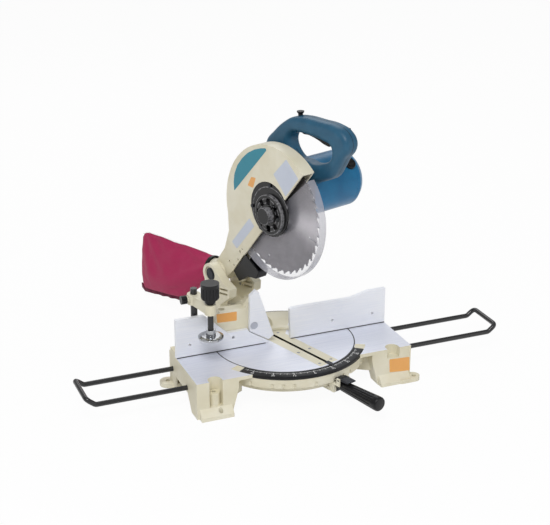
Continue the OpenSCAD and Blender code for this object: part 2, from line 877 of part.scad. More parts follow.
module return_spring() {
    points = [for (i = [0:spring_steps], p = spring_ring(i)) p];
    n = spring_sides;
    walls = [for (i = [0:spring_steps - 1], k = [0:n - 1], f = [[0, 1, 2], [0, 2, 3]])
        let (q = [i * n + k, i * n + (k + 1) % n, (i + 1) * n + (k + 1) % n, (i + 1) * n + k])
            [q[f[0]], q[f[1]], q[f[2]]]];
    ends = [for (k = [1:n - 2], f = [[0, k + 1, k], [spring_steps * n, spring_steps * n + k,
        spring_steps * n + k + 1]]) f];
    color(dark_steel) on_table() translate([neck_right + spring_wire + 0.2, pivot_y, pivot_z])
        polyhedron(points, concat(walls, ends));
}

module stopper_pin() {
    color(steel) on_table() translate([0, pivot_y + pin_at[0], pivot_z + pin_at[1]]) {
        along_x(ear_in + 1, ear_out + 10, pin_r);
        along_x(ear_out + 10, ear_out + 18, 9);
    }
}

// Head
module case_shape() {
    difference() {
        union() {
            circle(case_r);
            polygon([[0, 0], [-90, 113], [-112, 88], [-150, 48], [-192, 28], [-225, 24], [back, neck_r - 1],
                [back, -neck_r + 1], [-205, -23]]);
        }
        polygon([[160, 6.2], [-210, -23.4], [-210, -big], [160, -big]]);
    }
}

module case_room() {
    circle(case_in_r);
    polygon([[0, 0], [-90, 108], [-150, 42], [-190, 23], [-208, 20], [-208, -60], [0, -60]]);
}

// Turns the stop lug so that it meets the stopper pin when the head is down
module at_low_stop() {
    translate([0, pivot_y, pivot_z]) rotate([low_angle, 0, 0]) translate([0, -pivot_y, -pivot_z])
        children();
}

module blade_case() {
    color(cream) on_head() difference() {
        union() {
            side(case_left, case_right) case_shape();
            side(-neck_r, neck_right) translate([back, 0]) circle(neck_r);
            at_low_stop() side(neck_right - 4, neck_r) bar2d([back - pin_at[0], pin_at[1]],
                [back - pin_at[0] + 1, -16], 18);
            at_low_stop() side(neck_right - 8, neck_right)
                bar2d([back - pin_at[0] + 1, -16], [back + 10, 0], 18);
        }
        side(case_left + case_wall, case_right - case_wall) case_room();
        side(case_left - 1, case_left + case_wall + 1) translate(open_c) circle(open_r);
        side(case_right - case_wall - 1, case_right + 1) circle(24);
        side(-neck_r - 1, neck_r + 1) {
            translate([back, 0]) circle(shaft_r + run);
        }
        side(neck_right, neck_r + 1) translate([back, 0]) circle(spring_mean + spring_wire + 1);
        at_low_stop() side(0, neck_r + 1) translate([back - pin_at[0], pin_at[1]]) circle(pin_r + 0.3);
        side(case_left - 1, case_left + case_wall + 1) for (p = case_holes())
            translate([p[0], p[1]]) circle(p[2]);
    }
}

function case_holes() = [[-152, -5, 3], [-141, -5, 1.8], [-200, -2, 2.5], [-171, -14, 2.5], [-193, -16,
    2.2]];
case_screw_at = [for (a = [40, 140, 195]) open_c + 52.5 * [cos(a), sin(a)]];

module center_cover() {
    color(black) on_head() difference() {
        union() {
            side(case_left + 0.2, case_left + case_wall) translate(open_c) circle(open_r - 0.2);
            side(case_left + case_wall - 0.5, guard_left + guard_t + 0.5) circle(cover_boss_r);
            side(hub_x, case_left + 1) circle(hub_cap_r);
            side(nose_x, hub_x + 1) circle(nose_r);
        }
        side(hub_x + 3, guard_left + guard_t + 1) circle(cover_boss_r - 6);
        side(nose_x + 3, hub_x + 4) circle(nose_r - 4);
        for (a = [0:45:315])
            side(hub_x - 1, hub_x + 4) rotate(a) translate([29, 0]) square([13, 12], center = true);
        side(case_left - 1, case_left + case_wall + 1) for (p = case_screw_at)
            translate(p) circle(2.1);
    }
}

module case_screws() {
    color(dark_steel) on_head() for (p = case_screw_at) {
        side(case_left, case_left + case_wall) translate(p) circle(2);
        side(case_left - 2.6, case_left) translate(p) circle(4);
    }
}

module box_shape(grow) {
    circle(box_r + grow);
    translate(motor_at) circle(motor_r + grow);
    across = [-sin(gear_angle), cos(gear_angle)];
    polygon([(box_r + grow - 1) * across, motor_at + (motor_r + grow - 1) * across,
        motor_at - (motor_r + grow - 1) * across, -(box_r + grow - 1) * across]);
}

module gear_housing() {
    color(dark_steel) on_head() difference() {
        union() {
            side(box_left, box_right) box_shape(0);
            side(case_right - case_wall, box_left + 1) circle(23.8);
        }
        side(box_left + box_wall, box_right - box_wall - 2) {
            circle(gear_room);
            translate(motor_at) circle(gear_m * pinion_n / 2 + gear_m + 3);
        }
        side(0, box_right + 1) circle(spindle_r + 2);
        side(box_left + 1, box_left + box_wall + 1) circle(bearing_r + run / 2);
        side(box_right - box_wall - 3, box_right - 2) circle(bearing_r + run / 2);
        side(box_right - box_wall - 3, box_right + 1) translate(motor_at) circle(rotor_bearing_r + run / 2);
        side(box_right - box_wall - 3, box_right + 1) translate(lock_at) circle(lock_r + run);
    }
}

module motor_housing() {
    color(blue) on_head() difference() {
        union() {
            side(motor_x0, motor_x1) translate(motor_at) ring2d(motor_r, stator_r);
            in_side(brush_x) translate(motor_at) for (s = [0, 180])
                rotate([0, 0, s]) rotate([0, 90, 0]) translate([0, 0, comm_r + 3])
                    cylinder(h = motor_r + 2 - comm_r - 3, r = 9);
        }
        in_side(brush_x) translate(motor_at) for (s = [0, 180]) rotate([0, 0, s]) {
            translate([comm_r, -brush_h / 2 - run, -brush_w / 2 - run])
                cube([motor_r, brush_h + 2 * run, brush_w + 2 * run]);
            rotate([0, 90, 0]) translate([0, 0, motor_r - 6]) cylinder(h = 20, r = 7);
        }
    }
}

module brush_caps() {
    color(black) on_head() in_side(brush_x) translate(motor_at) for (s = [0, 180]) rotate([0, 0, s])
        rotate([0, 90, 0])
        difference() {
            union() {
                translate([0, 0, motor_r - 6]) cylinder(h = 8, r = 6.9);
                translate([0, 0, motor_r + 2]) cylinder(h = 3, r = 9);
            }
            translate([0, 0, motor_r + 5]) cube([20, 1.8, 3], center = true);
        }
}

module carbon_brushes() {
    color(black) on_head() in_side(brush_x) translate(motor_at) for (s = [0, 180]) rotate([0, 0, s])
        translate([comm_r + gap, -brush_h / 2, -brush_w / 2])
            cube([motor_r - 6.2 - comm_r - gap, brush_h, brush_w]);
}

module motor_end_cover() {
    color(blue) on_head() difference() {
        union() {
            side(motor_x1 + 0.1, motor_x1 + 8) translate(motor_at) ring2d(motor_r, motor_r - 4);
            in_side(motor_x1 + 8) translate(motor_at) rotate([180, 0, 0]) difference() {
                cylinder(h = cap_len - 8, r1 = motor_r, r2 = motor_r - 8);
                translate([0, 0, -0.01]) cylinder(h = cap_len - 12, r1 = motor_r - 4, r2 = motor_r - 10);
            }
            side(motor_x1 + 3, motor_end - 3) translate(motor_at) circle(rotor_bearing_r + 4);
        }
        side(motor_x1 + 2, motor_x1 + 11) translate(motor_at) circle(rotor_bearing_r + run / 2);
        for (i = [-3:3])
            side(motor_end - 6, motor_end + 1) translate(motor_at + [-32, i * 10 - 2]) square([14, 4]);
        for (i = [-3:3])
            side(motor_end - 6, motor_end + 1) translate(motor_at + [18, i * 10 - 2]) square([14, 4]);
    }
}

module stator() {
    color(steel) on_head() side(core_x0 - 4, core_x1 + 4) translate(motor_at)
        ring2d(stator_r - run / 2, stator_in);
}

// Involute gear outline with the first tooth on the first axis
function involute(rb, r) = let (a = acos(min(1, rb / r))) tan(a) * 180 / PI - a;

function tooth(n, k) = let (
    r = gear_m * n / 2,
    rb = r * cos(gear_pa),
    ra = r + gear_add,
    rf = r - gear_ded,
    half = 90 / n - gear_back / r * 90 / PI + involute(rb, r),
    start = max(rb, rf),
    radii = [for (i = [0:3]) start + (ra - start) * i / 3],
    c = 360 * k / n)
    concat(
        [rf * [cos(c - half), sin(c - half)]],
        [for (q = radii) let (a = c - half + involute(rb, q)) q * [cos(a), sin(a)]],
        [for (i = [3:-1:0]) let (q = radii[i], a = c + half - involute(rb, q)) q * [cos(a), sin(a)]],
        [rf * [cos(c + half), sin(c + half)]]);

module gear2d(n) {
    polygon([for (k = [0:n - 1], p = tooth(n, k)) p]);
}

// The pinion's gap faces the tooth of the drive gear that lies on the line of centres
gear_turn = gear_angle;
pinion_turn = gear_angle + 180 + 180 / pinion_n;

module drive_gear() {
    color(steel) on_head() difference() {
        side(gear_x0, gear_x1) rotate(gear_turn) gear2d(gear_n);
        side(gear_x0 - 1, gear_x1 + 1) circle(spindle_r + run / 2);
        for (i = [0:lock_holes - 1])
            side(gear_x0 - 1, gear_x1 + 1) rotate(360 * i / lock_holes) translate(lock_at)
                circle(lock_r + 0.6);
    }
}

module armature() {
    color(steel) on_head() {
        side(gear_x0 - 0.5, motor_x1 + 9) translate(motor_at) circle(rotor_shaft_r);
        side(gear_x0, gear_x1) translate(motor_at) rotate(pinion_turn) gear2d(pinion_n);
        side(core_x0, core_x1) translate(motor_at) circle(core_r);
        side(core_x0 - 6, core_x1 + 6) translate(motor_at) circle(core_r - 4);
        side(comm_x0, comm_x1) translate(motor_at) circle(comm_r);
    }
}

module cooling_fan() {
    color(black) on_head() difference() {
        union() {
            side(fan_x0, fan_x0 + 2) translate(motor_at) circle(fan_r);
            side(fan_x0, fan_x1) translate(motor_at) circle(rotor_shaft_r + 5);
            for (i = [0:fan_blades - 1])
                side(fan_x0, fan_x1) translate(motor_at) rotate(360 * i / fan_blades) translate([14, -1])
                    square([fan_r - 15, 2]);
        }
        side(fan_x0 - 1, fan_x1 + 1) translate(motor_at) circle(rotor_shaft_r + run / 2);
    }
}

module spindle_bearings() {
    color(steel) on_head() for (x = [box_left + 1.2, box_right - box_wall - 2.8])
        side(x, x + 7.5) ring2d(bearing_r, spindle_r + run);
}

module motor_bearings() {
    color(steel) on_head() for (x = [box_right - box_wall - 1.8, motor_x1 + 2.2])
        side(x, x + 7) translate(motor_at) ring2d(rotor_bearing_r, rotor_shaft_r + run);
}

module spindle() {
    color(steel) on_head() difference() {
        side(-5.5, box_right - 4) circle(spindle_r);
        side(-6, 16) circle(4);
    }
}

module inner_flange() {
    color(steel) on_head() {
        side(blade_t / 2 + run, 9) ring2d(flange_r, spindle_r + run / 2);
        side(-blade_t / 2 + 0.2, blade_t / 2 + run) ring2d(arbor_r - run, spindle_r + run / 2);
    }
}

module outer_flange() {
    color(steel) on_head() side(-6.2, -blade_t / 2 - run) ring2d(flange_r, spindle_r + run / 2);
}

module blade_bolt() {
    color(dark_steel) on_head() {
        side(-7.6, -6.2) circle(12);
        side(-14, -7.6) circle(9, $fn = 6);
        side(-6.2, 14) circle(4 - run / 2);
    }
}

// Teeth lean forward in the cutting direction, which is down at the front
module saw_blade() {
    pitch = 360 / blade_teeth;
    gullet = 6;
    color(steel) on_head() difference() {
        side(-blade_t / 2, blade_t / 2) polygon([for (i = [0:blade_teeth - 1], p = [
            [blade_r - gullet, 0], [blade_r - gullet - 1, 0.22], [blade_r - gullet + 1, 0.4],
            [blade_r - 1.2, 0.86], [blade_r, 0.98]])
            p[0] * [cos(-pitch * (i + p[1])), sin(-pitch * (i + p[1]))]]);
        side(-blade_t, blade_t) circle(arbor_r);
        for (a = [30:90:300])
            side(-blade_t, blade_t) rotate(a) {
                translate([blade_r - 26, -0.6]) square([30, 1.2]);
                translate([blade_r - 26, 0]) circle(2.5);
            }
    }
}

module safety_cover() {
    color(clear_grey, 0.4) on_head() {
        side(guard_left, guard_left + guard_t) {
            ring2d(cover_boss_r + 9, cover_boss_r + run);
            intersection() {
                ring2d(guard_r, cover_boss_r + run);
                rotate(guard_edge) translate([-big / 2, -big]) square(big);
            }
        }
        side(guard_left, guard_right) intersection() {
            ring2d(guard_r, guard_r - guard_t);
            rotate(guard_edge) translate([-big / 2, -big]) square(big);
        }
    }
}

// Handle
module handle_shape(cut) {
    difference() {
        union() {
            bar2d(bar_from, bar_to, handle_bar - 2 * cut);
            bar2d([post_top_at[0] - 10, bar_from[1] + 1], [bar_from[0] - 6, bar_from[1] + 1],
                handle_bar + 2 - 2 * cut);
            translate(nose_at) circle(nose_w / 2 - cut);
            bar2d(rail_from, rail_mid, rail_w - 2 * cut);
            bar2d(rail_mid, rail_to, rail_w - 2 * cut);
            bar2d(post_top_at, post_foot, post_w - 2 * cut);
            intersection() {
                translate(motor_at) circle(motor_r + saddle_w - cut);
                polygon([motor_at, rail_mid, rail_to + [30, 30], post_top_at, [post_foot[0] - 20, 200]]);
            }
        }
        translate(motor_at) circle(motor_r + 0.1);
    }
}

module on_bar(t) {
    translate(bar_from + t * bar_dir) rotate(bar_angle) children();
}

module trigger_room(grow) {
    on_bar(trigger_at) translate([-trigger_len / 2 - grow, -handle_bar / 2 - 1])
        square([trigger_len + 2 * grow, trigger_in + trigger_travel + 1 + grow]);
}

module switch_shape(grow) {
    on_bar(trigger_at) translate([-switch_len / 2 - grow,
        -handle_bar / 2 + trigger_in + trigger_travel + 0.6 - grow])
        square([switch_len + 2 * grow, switch_h + 2 * grow]);
}

module handle_cuts() {
    side(handle_x - trigger_w / 2 - gap, handle_x + trigger_w / 2 + gap) trigger_room(gap);
    side(handle_x - switch_w / 2 - 0.1, handle_x + switch_w / 2 + 0.1) switch_shape(0.1);
    button_axis() translate([0, 0, -14]) cylinder(h = 30, r = button_r + run);
    for (p = handle_screw_at)
        side(0, handle_x + handle_w) translate(p) circle(2.1);
}

handle_screw_at = [[92, 128], [234, 36], [228, 4], [76, 100]];

module button_axis() {
    in_side(handle_x) translate(bar_from + button_at * bar_dir) rotate([0, 0, bar_angle + 90])
        rotate([0, 90, 0]) translate([0, 0, handle_bar / 2]) children();
}

module handle_left() {
    color(blue) on_head() difference() {
        union() {
            side(handle_x - handle_w / 2, handle_x - 0.05) handle_shape(round_cut);
            side(handle_x - handle_w / 2 + round_cut, handle_x - 0.05) handle_shape(0);
        }
        handle_cuts();
    }
}

module handle_right() {
    color(blue) on_head() difference() {
        union() {
            side(handle_x + 0.05, handle_x + handle_w / 2) handle_shape(round_cut);
            side(handle_x + 0.05, handle_x + handle_w / 2 - round_cut) handle_shape(0);
        }
        handle_cuts();
    }
}

module handle_screws() {
    color(dark_steel) on_head() for (p = handle_screw_at) {
        side(handle_x - handle_w / 2 + 1, handle_x + handle_w / 2) translate(p) circle(2);
        side(handle_x + handle_w / 2, handle_x + handle_w / 2 + 2.2) translate(p) circle(screw_head_r);
    }
}

module switch_block() {
    color(black) on_head() side(handle_x - switch_w / 2, handle_x + switch_w / 2) switch_shape(0);
}

module trigger() {
    color(black) on_head() side(handle_x - trigger_w / 2, handle_x + trigger_w / 2) on_bar(trigger_at) {
        translate([-trigger_len / 2, -handle_bar / 2]) square([trigger_len, trigger_in]);
        translate([0, -handle_bar / 2]) intersection() {
            translate([-trigger_len / 2, -trigger_out]) square([trigger_len, trigger_out + 1]);
            translate([0, 40 - trigger_out]) circle(40);
        }
    }
}

module lock_off_button() {
    color(black) on_head() button_axis() {
        translate([0, 0, -9]) cylinder(h = 9 + button_travel + 0.5, r = button_r);
        translate([0, 0, button_travel + 0.5]) cylinder(h = 3, r1 = button_r, r2 = button_r + 2.5);
        translate([0, 0, button_travel + 3.5]) cylinder(h = 2.5, r = button_r + 2.5);
    }
}

module shaft_lock() {
    color(black) on_head() {
        side(gear_x1 + 0.8, box_right + 6.5) translate(lock_at) circle(lock_r);
        side(box_right + 6.5, box_right + 12) translate(lock_at) circle(lock_r + 1.5);
    }
}

// Dust way
module chute_shape() {
    polygon([[-143, -18.4], [-131, -68], [-150, -74.5], [-172, -57], [-207, -49], [-207, -23.6]]);
}

module dust_chute() {
    color(black) on_head() difference() {
        side(case_left + 2, case_right - 1) chute_shape();
        side(case_left + 5, case_right - 4) translate([4, 5]) chute_shape();
    }
}

module dust_nozzle() {
    color(cream) on_nozzle() difference() {
        along_y(6, nozzle_len, nozzle_r);
        along_y(neck_r + 4, nozzle_len + 1, nozzle_r - nozzle_wall);
        along_x(-big, big, neck_r + 0.1);
    }
}

module dust_bag() {
    color(crimson) on_nozzle() difference() {
        hull() {
            along_y(30, 36, nozzle_r + 5, $fn = 32);
            translate([0, 302, 32]) sphere(13, $fn = 24);
            translate([0, 332, -96]) sphere(13, $fn = 24);
            translate([0, 172, -96]) sphere(13, $fn = 24);
            translate([0, 200, -30]) scale([0.58, 1.2, 1]) sphere(62, $fn = 32);
        }
        along_y(0, nozzle_len + gap, nozzle_r + gap);
    }
}

// Vise
module vise_post() {
    color(black) translate([post[0], post[1], table_h - 25 + gap])
        cylinder(h = post_top - table_h + 25 - gap, r = post_r);
}

module vise_arm() {
    d = screw_at - post;
    color(cream) translate([0, 0, vise_arm_z]) difference() {
        union() {
            linear_extrude(vise_arm_h) {
                translate(post) circle(post_r + 7);
                bar2d(post, screw_at, 18);
                translate(screw_at) circle(screw_r + 6);
            }
            translate([post[0], post[1], vise_arm_h / 2]) along_x(-post_r - 9, 0, 8);
        }
        translate([post[0], post[1], -1]) cylinder(h = vise_arm_h + 2, r = post_r + run);
        translate([screw_at[0], screw_at[1], -1]) cylinder(h = vise_arm_h + 2, r = screw_r + run);
        translate([post[0], post[1], vise_arm_h / 2]) along_x(-post_r - 16, 0, 4 + run);
    }
}

module vise_lock_knob() {
    color(black) translate([post[0], post[1], vise_arm_z + vise_arm_h / 2]) {
        along_x(-post_r - 11, -post_r - gap, 4);
        along_x(-post_r - 21, -post_r - 9 - gap, 9);
    }
}

module vise_pad() {
    color(silver) translate([screw_at[0], screw_at[1], pad_z]) difference() {
        union() {
            cylinder(h = pad_t - 3, r = pad_r);
            translate([0, 0, pad_t - 3]) cylinder(h = 3, r1 = pad_r, r2 = pad_r - 8);
            cylinder(h = pad_t + pad_socket_h, r = screw_r + 4);
        }
        translate([0, 0, pad_t + 1 - gap]) cylinder(h = pad_socket_h + 5, r = screw_r + run);
    }
}

module vise_screw() {
    color(black) translate([screw_at[0], screw_at[1], screw_bottom])
        cylinder(h = knob_z + 20 - screw_bottom, r = screw_r);
}

module vise_knob() {
    color(black) translate([screw_at[0], screw_at[1], knob_z]) difference() {
        union() {
            cylinder(h = knob_h - 8, r = knob_r - 2);
            translate([0, 0, knob_h - 8]) cylinder(h = 8, r = knob_r);
            translate([0, 0, -8]) cylinder(h = 8, r = screw_r + 5);
            for (a = [0:20:340])
                rotate(a) translate([knob_r - 2, 0, 2]) cylinder(h = knob_h - 9, r = 1.6);
        }
        translate([0, 0, -9]) cylinder(h = 29, r = screw_r + run / 2);
    }
}

// Holders
module holder(reach) {
    inner = half_w - rod_inside;
    bend = reach - rod_lift - 4;
    top_z = rod_z + rod_lift;
    for (y = rod_ys) {
        rod([inner, y, rod_z], [bend, y, rod_z], rod_r);
        translate([bend, y, rod_z]) sphere(rod_r + bend_swell);
        rod([bend, y, rod_z], [reach, y, top_z], rod_r);
        translate([reach, y, top_z]) sphere(rod_r + bend_swell);
    }
    rod([reach, rod_ys[0], top_z], [reach, rod_ys[1], top_z], rod_r);
}

module left_holder() {
    color(black) mirror([1, 0, 0]) holder(left_reach);
}

module right_holder() {
    color(black) holder(right_reach);
}

in_place() base();
in_place() mitre_scale();
in_place() guide_fence();
in_place() fence_bolts();
in_place() pivot_bolt();
in_place() turn_base();
in_place() left_kerf_board();
in_place() right_kerf_board();
in_place() kerf_board_screws();
in_place() mitre_pointer();
in_place() lock_grip();
in_place() lock_rod();
in_place() stop_lever();
in_place() arm();
in_place() bevel_bolt();
in_place() bevel_lock_lever();
in_place() pivot_shaft();
in_place() return_spring();
in_place() stopper_pin();
in_place() blade_case();
in_place() center_cover();
in_place() case_screws();
in_place() gear_housing();
in_place() motor_housing();
in_place() motor_end_cover();
in_place() stator();
in_place() brush_caps();
in_place() carbon_brushes();
in_place() handle_left();
in_place() handle_right();
in_place() handle_screws();
in_place() switch_block();
in_place() trigger();
in_place() lock_off_button();
in_place() dust_chute();
in_place() dust_nozzle();
in_place() dust_bag();
in_place() shaft_lock();
in_place() spindle_bearings();
in_place() motor_bearings();
in_place() spindle();
in_place() drive_gear();
in_place() inner_flange();
in_place() saw_blade();
in_place() outer_flange();
in_place() blade_bolt();
in_place() armature();
in_place() cooling_fan();
in_place() safety_cover();
in_place() sub_fence();
in_place() sub_fence_pin();
in_place() vise_post();
in_place() vise_arm();
in_place() vise_lock_knob();
in_place() vise_pad();
in_place() vise_screw();
in_place() vise_knob();
in_place() left_holder();
in_place() right_holder();
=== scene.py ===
# %% [markdown]
# # A compound mitre saw, dressed around its working solids
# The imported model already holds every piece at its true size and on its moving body. This lesson keeps those
# solids as the frame, rounds the edges a mould or a file would have rounded, sews the dust bag, adds the thin
# things that a solid modeller leaves out, and gives each surface a procedural finish.

import json
import math

import bmesh
import bpy
from mathutils import Matrix, Vector, noise
from mathutils.bvhtree import BVHTree


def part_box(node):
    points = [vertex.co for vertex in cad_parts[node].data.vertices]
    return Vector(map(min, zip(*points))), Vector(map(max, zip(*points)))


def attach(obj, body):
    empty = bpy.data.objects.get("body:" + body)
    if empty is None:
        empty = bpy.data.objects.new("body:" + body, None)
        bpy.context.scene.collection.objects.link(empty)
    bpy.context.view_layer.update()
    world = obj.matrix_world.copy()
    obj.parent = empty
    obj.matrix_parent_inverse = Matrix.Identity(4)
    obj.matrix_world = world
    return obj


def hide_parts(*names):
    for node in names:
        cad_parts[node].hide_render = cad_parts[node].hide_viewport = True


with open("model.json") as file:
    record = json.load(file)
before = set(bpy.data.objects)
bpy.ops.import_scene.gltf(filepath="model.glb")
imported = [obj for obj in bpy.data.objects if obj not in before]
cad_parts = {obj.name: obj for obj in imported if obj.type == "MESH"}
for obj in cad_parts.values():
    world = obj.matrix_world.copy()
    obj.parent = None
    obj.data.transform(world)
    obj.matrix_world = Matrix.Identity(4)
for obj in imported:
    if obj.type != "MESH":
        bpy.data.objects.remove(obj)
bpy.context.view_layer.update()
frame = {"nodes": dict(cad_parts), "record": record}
scene = bpy.context.scene

# %% [markdown]
# ## Where things are
# The saw is drawn in three nested frames: the stand, the table that is turned on it, and the head that is
# raised on the table. A few small functions carry a point from the stand's, the table's or the head's own
# drawing into the row frame, so trim can be placed in the numbers that a drawing of that piece would use.

# %% Frames of the table and the head
MM = 0.001
AXIS_Y = -45
MITRE = math.radians(18)
RAISE = math.radians(46)
PIVOT = (195, 180)
ARM_LENGTH = 250
TABLE_TOP = 79


def on_stand(x, y, z):
    return Vector((x, y + AXIS_Y, z)) * MM


def on_table(x, y, z):
    turned = Matrix.Rotation(MITRE, 3, "Z") @ Vector((x, y, z))
    return on_stand(*turned)


def on_pivot(x, back, up, tilt):
    """A point behind and above the head's pivot, on a plane that is tilted about it."""
    y = PIVOT[0] + back * math.cos(tilt) - up * math.sin(tilt)
    z = PIVOT[1] + back * math.sin(tilt) + up * math.cos(tilt)
    return on_table(x, y, z)


def on_head(x, ahead, above):
    return on_pivot(x, -ahead - ARM_LENGTH, above, -RAISE)


SPINDLE = on_head(0, 0, 0)
SPINDLE_AXIS = (on_head(1, 0, 0) - SPINDLE).normalized()
HEAD_AHEAD = (on_head(0, 1, 0) - SPINDLE).normalized()
HEAD_ABOVE = (on_head(0, 0, 1) - SPINDLE).normalized()
print("spindle at", tuple(round(c, 4) for c in SPINDLE))

# %% [markdown]
# ## Camera
# The photograph was taken from the front left and above with a longish lens. The place and the focal length
# were solved from the stand's edges and the fence, so the render lines up with it without any shift.


# %% Camera
def given(thing, **values):
    """Sets several properties of a thing."""
    for key, value in values.items():
        setattr(thing, key, value)
    return thing


def linked(name, data):
    """A new object of the scene that shows some data."""
    thing = bpy.data.objects.new(name, data)
    scene.collection.objects.link(thing)
    return thing


def dressed(mesh, material):
    mesh.materials.clear()
    mesh.materials.append(material)
    return mesh


def aimed(thing, at, toward):
    thing.location = at
    thing.rotation_euler = (Vector(toward) - Vector(at)).to_track_quat("-Z", "Y").to_euler()


CAMERA_AT = Vector((-0.9797, -2.3806, 1.2855))
LOOK_AT = Vector((-0.01941, -0.045, 0.25903))
lens = given(bpy.data.cameras.new("camera"), lens=86.65, sensor_fit="HORIZONTAL", sensor_width=36)
camera = linked("camera", lens)
aimed(camera, CAMERA_AT, LOOK_AT)
scene.camera = camera
print("camera distance", round((LOOK_AT - CAMERA_AT).length, 3))

# %% [markdown]
# ## Writing shader maths as maths
# A node tree is easier to read as a formula. `Wire` wraps one output socket and turns +, -, * and / into Math
# nodes; `Finish` owns one material and adds every other node through a single method. A colour is written as it
# is picked on a screen, and becomes the shader's linear values when it is fed to a socket.


# %% Shader helpers
class Wire:
    def __init__(self, finish, socket):
        self.finish = finish
        self.socket = socket

    def _math(self, operation, *terms):
        return self.finish.add("ShaderNodeMath", {"operation": operation}, dict(enumerate(terms)))

    def __add__(self, other):
        return self._math("ADD", self, other)

    __radd__ = __add__

    def __sub__(self, other):
        return self._math("SUBTRACT", self, other)

    def __rsub__(self, other):
        return self._math("SUBTRACT", other, self)

    def __mul__(self, other):
        return self._math("MULTIPLY", self, other)

    __rmul__ = __mul__

    def __truediv__(self, other):
        return self._math("DIVIDE", self, other)

    def __rtruediv__(self, other):
        return self._math("DIVIDE", other, self)

    def power(self, exponent):
        return self._math("POWER", self, exponent)

    def sine(self):
        return self._math("SINE", self)

    def size(self):
        return self._math("ABSOLUTE", self)

    def step(self, start, end):
        sockets = {"Value": self, "From Min": start, "From Max": end}
        return self.finish.add("ShaderNodeMapRange", {"interpolation_type": "SMOOTHSTEP"}, sockets)


def colour(hexa):
    """An sRGB colour as it is picked on a screen, in the linear values that a shader takes."""
    parts = [int(hexa[i:i + 2], 16) / 255 for i in (1, 3, 5)]
    return tuple(c / 12.92 if c <= 0.04045 else ((c + 0.055) / 1.055) ** 2.4 for c in parts) + (1.0,)


class Finish:
    def __init__(self, name):
        self.material = bpy.data.materials.new(name)
        self.material.use_nodes = True
        self.tree = self.material.node_tree
        self.shader = self.tree.nodes["Principled BSDF"]
        self.place = self.add("ShaderNodeTexCoord", out="Object")

    def add(self, kind, settings=None, sockets=None, out=0):
        node = given(self.tree.nodes.new(kind), **(settings or {}))
        for key, value in (sockets or {}).items():
            self.feed(node.inputs[key], value)
        return Wire(self, node.outputs[out])

    def feed(self, socket, value):
        if isinstance(value, Wire):
            self.tree.links.new(value.socket, socket)
        else:
            socket.default_value = colour(value) if isinstance(value, str) else value

    def set(self, **sockets):
        for key, value in sockets.items():
            self.feed(self.shader.inputs[key.replace("_", " ")], value)

    def part(self, axis, vector=None):
        return self.add("ShaderNodeSeparateXYZ", None, {"Vector": vector or self.place}, out=axis)

    def vector(self, operation, first, second=(0, 0, 0), out=0):
        return self.add("ShaderNodeVectorMath", {"operation": operation}, {0: first, 1: second}, out)

    def along(self, direction, vector=None):
        return self.vector("DOT_PRODUCT", vector or self.place, direction, "Value")

    def from_spindle(self):
        return self.vector("SUBTRACT", self.place, SPINDLE)

    def length(self, vector):
        return self.vector("LENGTH", vector, out="Value")

    def cloud(self, scale, detail=3.0, rough=0.55, at=None):
        sockets = {"Vector": at or self.place, "Scale": scale, "Detail": detail, "Roughness": rough}
        return self.add("ShaderNodeTexNoise", None, sockets)

    def drawn_out(self, scale, rough):
        """Clouds drawn out to lines by a scale for each axis."""
        return self.cloud(1.0, 4, rough, self.vector("MULTIPLY", self.place, scale))

    def blend(self, factor, first, second):
        settings = {"data_type": "RGBA"}
        return self.add("ShaderNodeMix", settings, {0: factor, 6: first, 7: second}, out=2)

    def bumped(self, height, distance, strength):
        """The material, after its last touch."""
        sockets = {"Height": height, "Distance": distance, "Strength": strength}
        self.set(Normal=self.add("ShaderNodeBump", None, sockets, out="Normal"))
        return self.material


print("white is", tuple(round(c, 2) for c in colour("#FFFFFF")))

# %% [markdown]
# ## Finishes
# Cast pieces are sprayed with a cream enamel: it shows a faint orange peel and a little uneven tone. The same
# castings are milled where the work lies, so one finish holds both: the object's own normal and height tell a
# milled face from a painted one. Milling leaves fine parallel lines and a cool, pale grey.

# %% Cream enamel and milled faces
CREAM = "#DFD8BE"
CREAM_LIGHT = "#E9E4D0"
CREAM_SOIL = "#BDB496"
MILLED = "#DDE1EE"
MILLED_LIGHT = "#ECEEF7"
FENCE_GREY = "#EBEEF6"
FENCE_LIGHT = "#F5F6FA"


def enamel_tone(finish):
    tone = finish.cloud(14, 3).step(0.35, 0.7)
    soil = finish.cloud(55, 5, 0.65).step(0.62, 0.8) * 0.35
    return finish.blend(soil, finish.blend(tone, CREAM, CREAM_LIGHT), CREAM_SOIL)


def cream_enamel(name):
    finish = Finish(name)
    peel = finish.cloud(900, 2)
    finish.set(Base_Color=enamel_tone(finish), Roughness=0.36 + 0.14 * finish.cloud(40))
    finish.set(Coat_Weight=0.25, Coat_Roughness=0.25)
    return finish.bumped(peel, 0.0002, 0.35)


TABLE_SIDE = (on_table(1, 0, 0) - on_table(0, 0, 0)).normalized()
TABLE_AHEAD = (on_table(0, -1, 0) - on_table(0, 0, 0)).normalized()
FENCE_BACK = on_stand(0, 9.2, 0).y
REAR_SPREAD = 1.1
SLOT_SHADE = "#171614"
CHANNEL_HALF, KERF_HALF = 7, 3.5


def off_axis(finish, direction):
    """The distance from the table's axis along a direction."""
    return finish.along(direction) - on_table(0, 0, 0).dot(direction)


def slot_walls(finish, half):
    """One on the walls of the saw slot, half millimetres from its middle, and nought on the top; painted shade
    goes there.
    """
    side = off_axis(finish, TABLE_SIDE).size()
    below = finish.part("Z").step((TABLE_TOP - 0.7) * MM, (TABLE_TOP - 0.4) * MM)
    return (1 - side.step((half + 0.2) * MM, (half + 0.4) * MM)) * (1 - below)


def behind_fence(finish):
    return finish.part("Y").step(FENCE_BACK, FENCE_BACK + 0.0002)


def rear_sector(finish):
    """One on the part of the disc that stays behind the fence however the table is turned."""
    back, side = off_axis(finish, -TABLE_AHEAD), off_axis(finish, TABLE_SIDE).size()
    return (back * REAR_SPREAD - side).step(0.0, 0.0004)


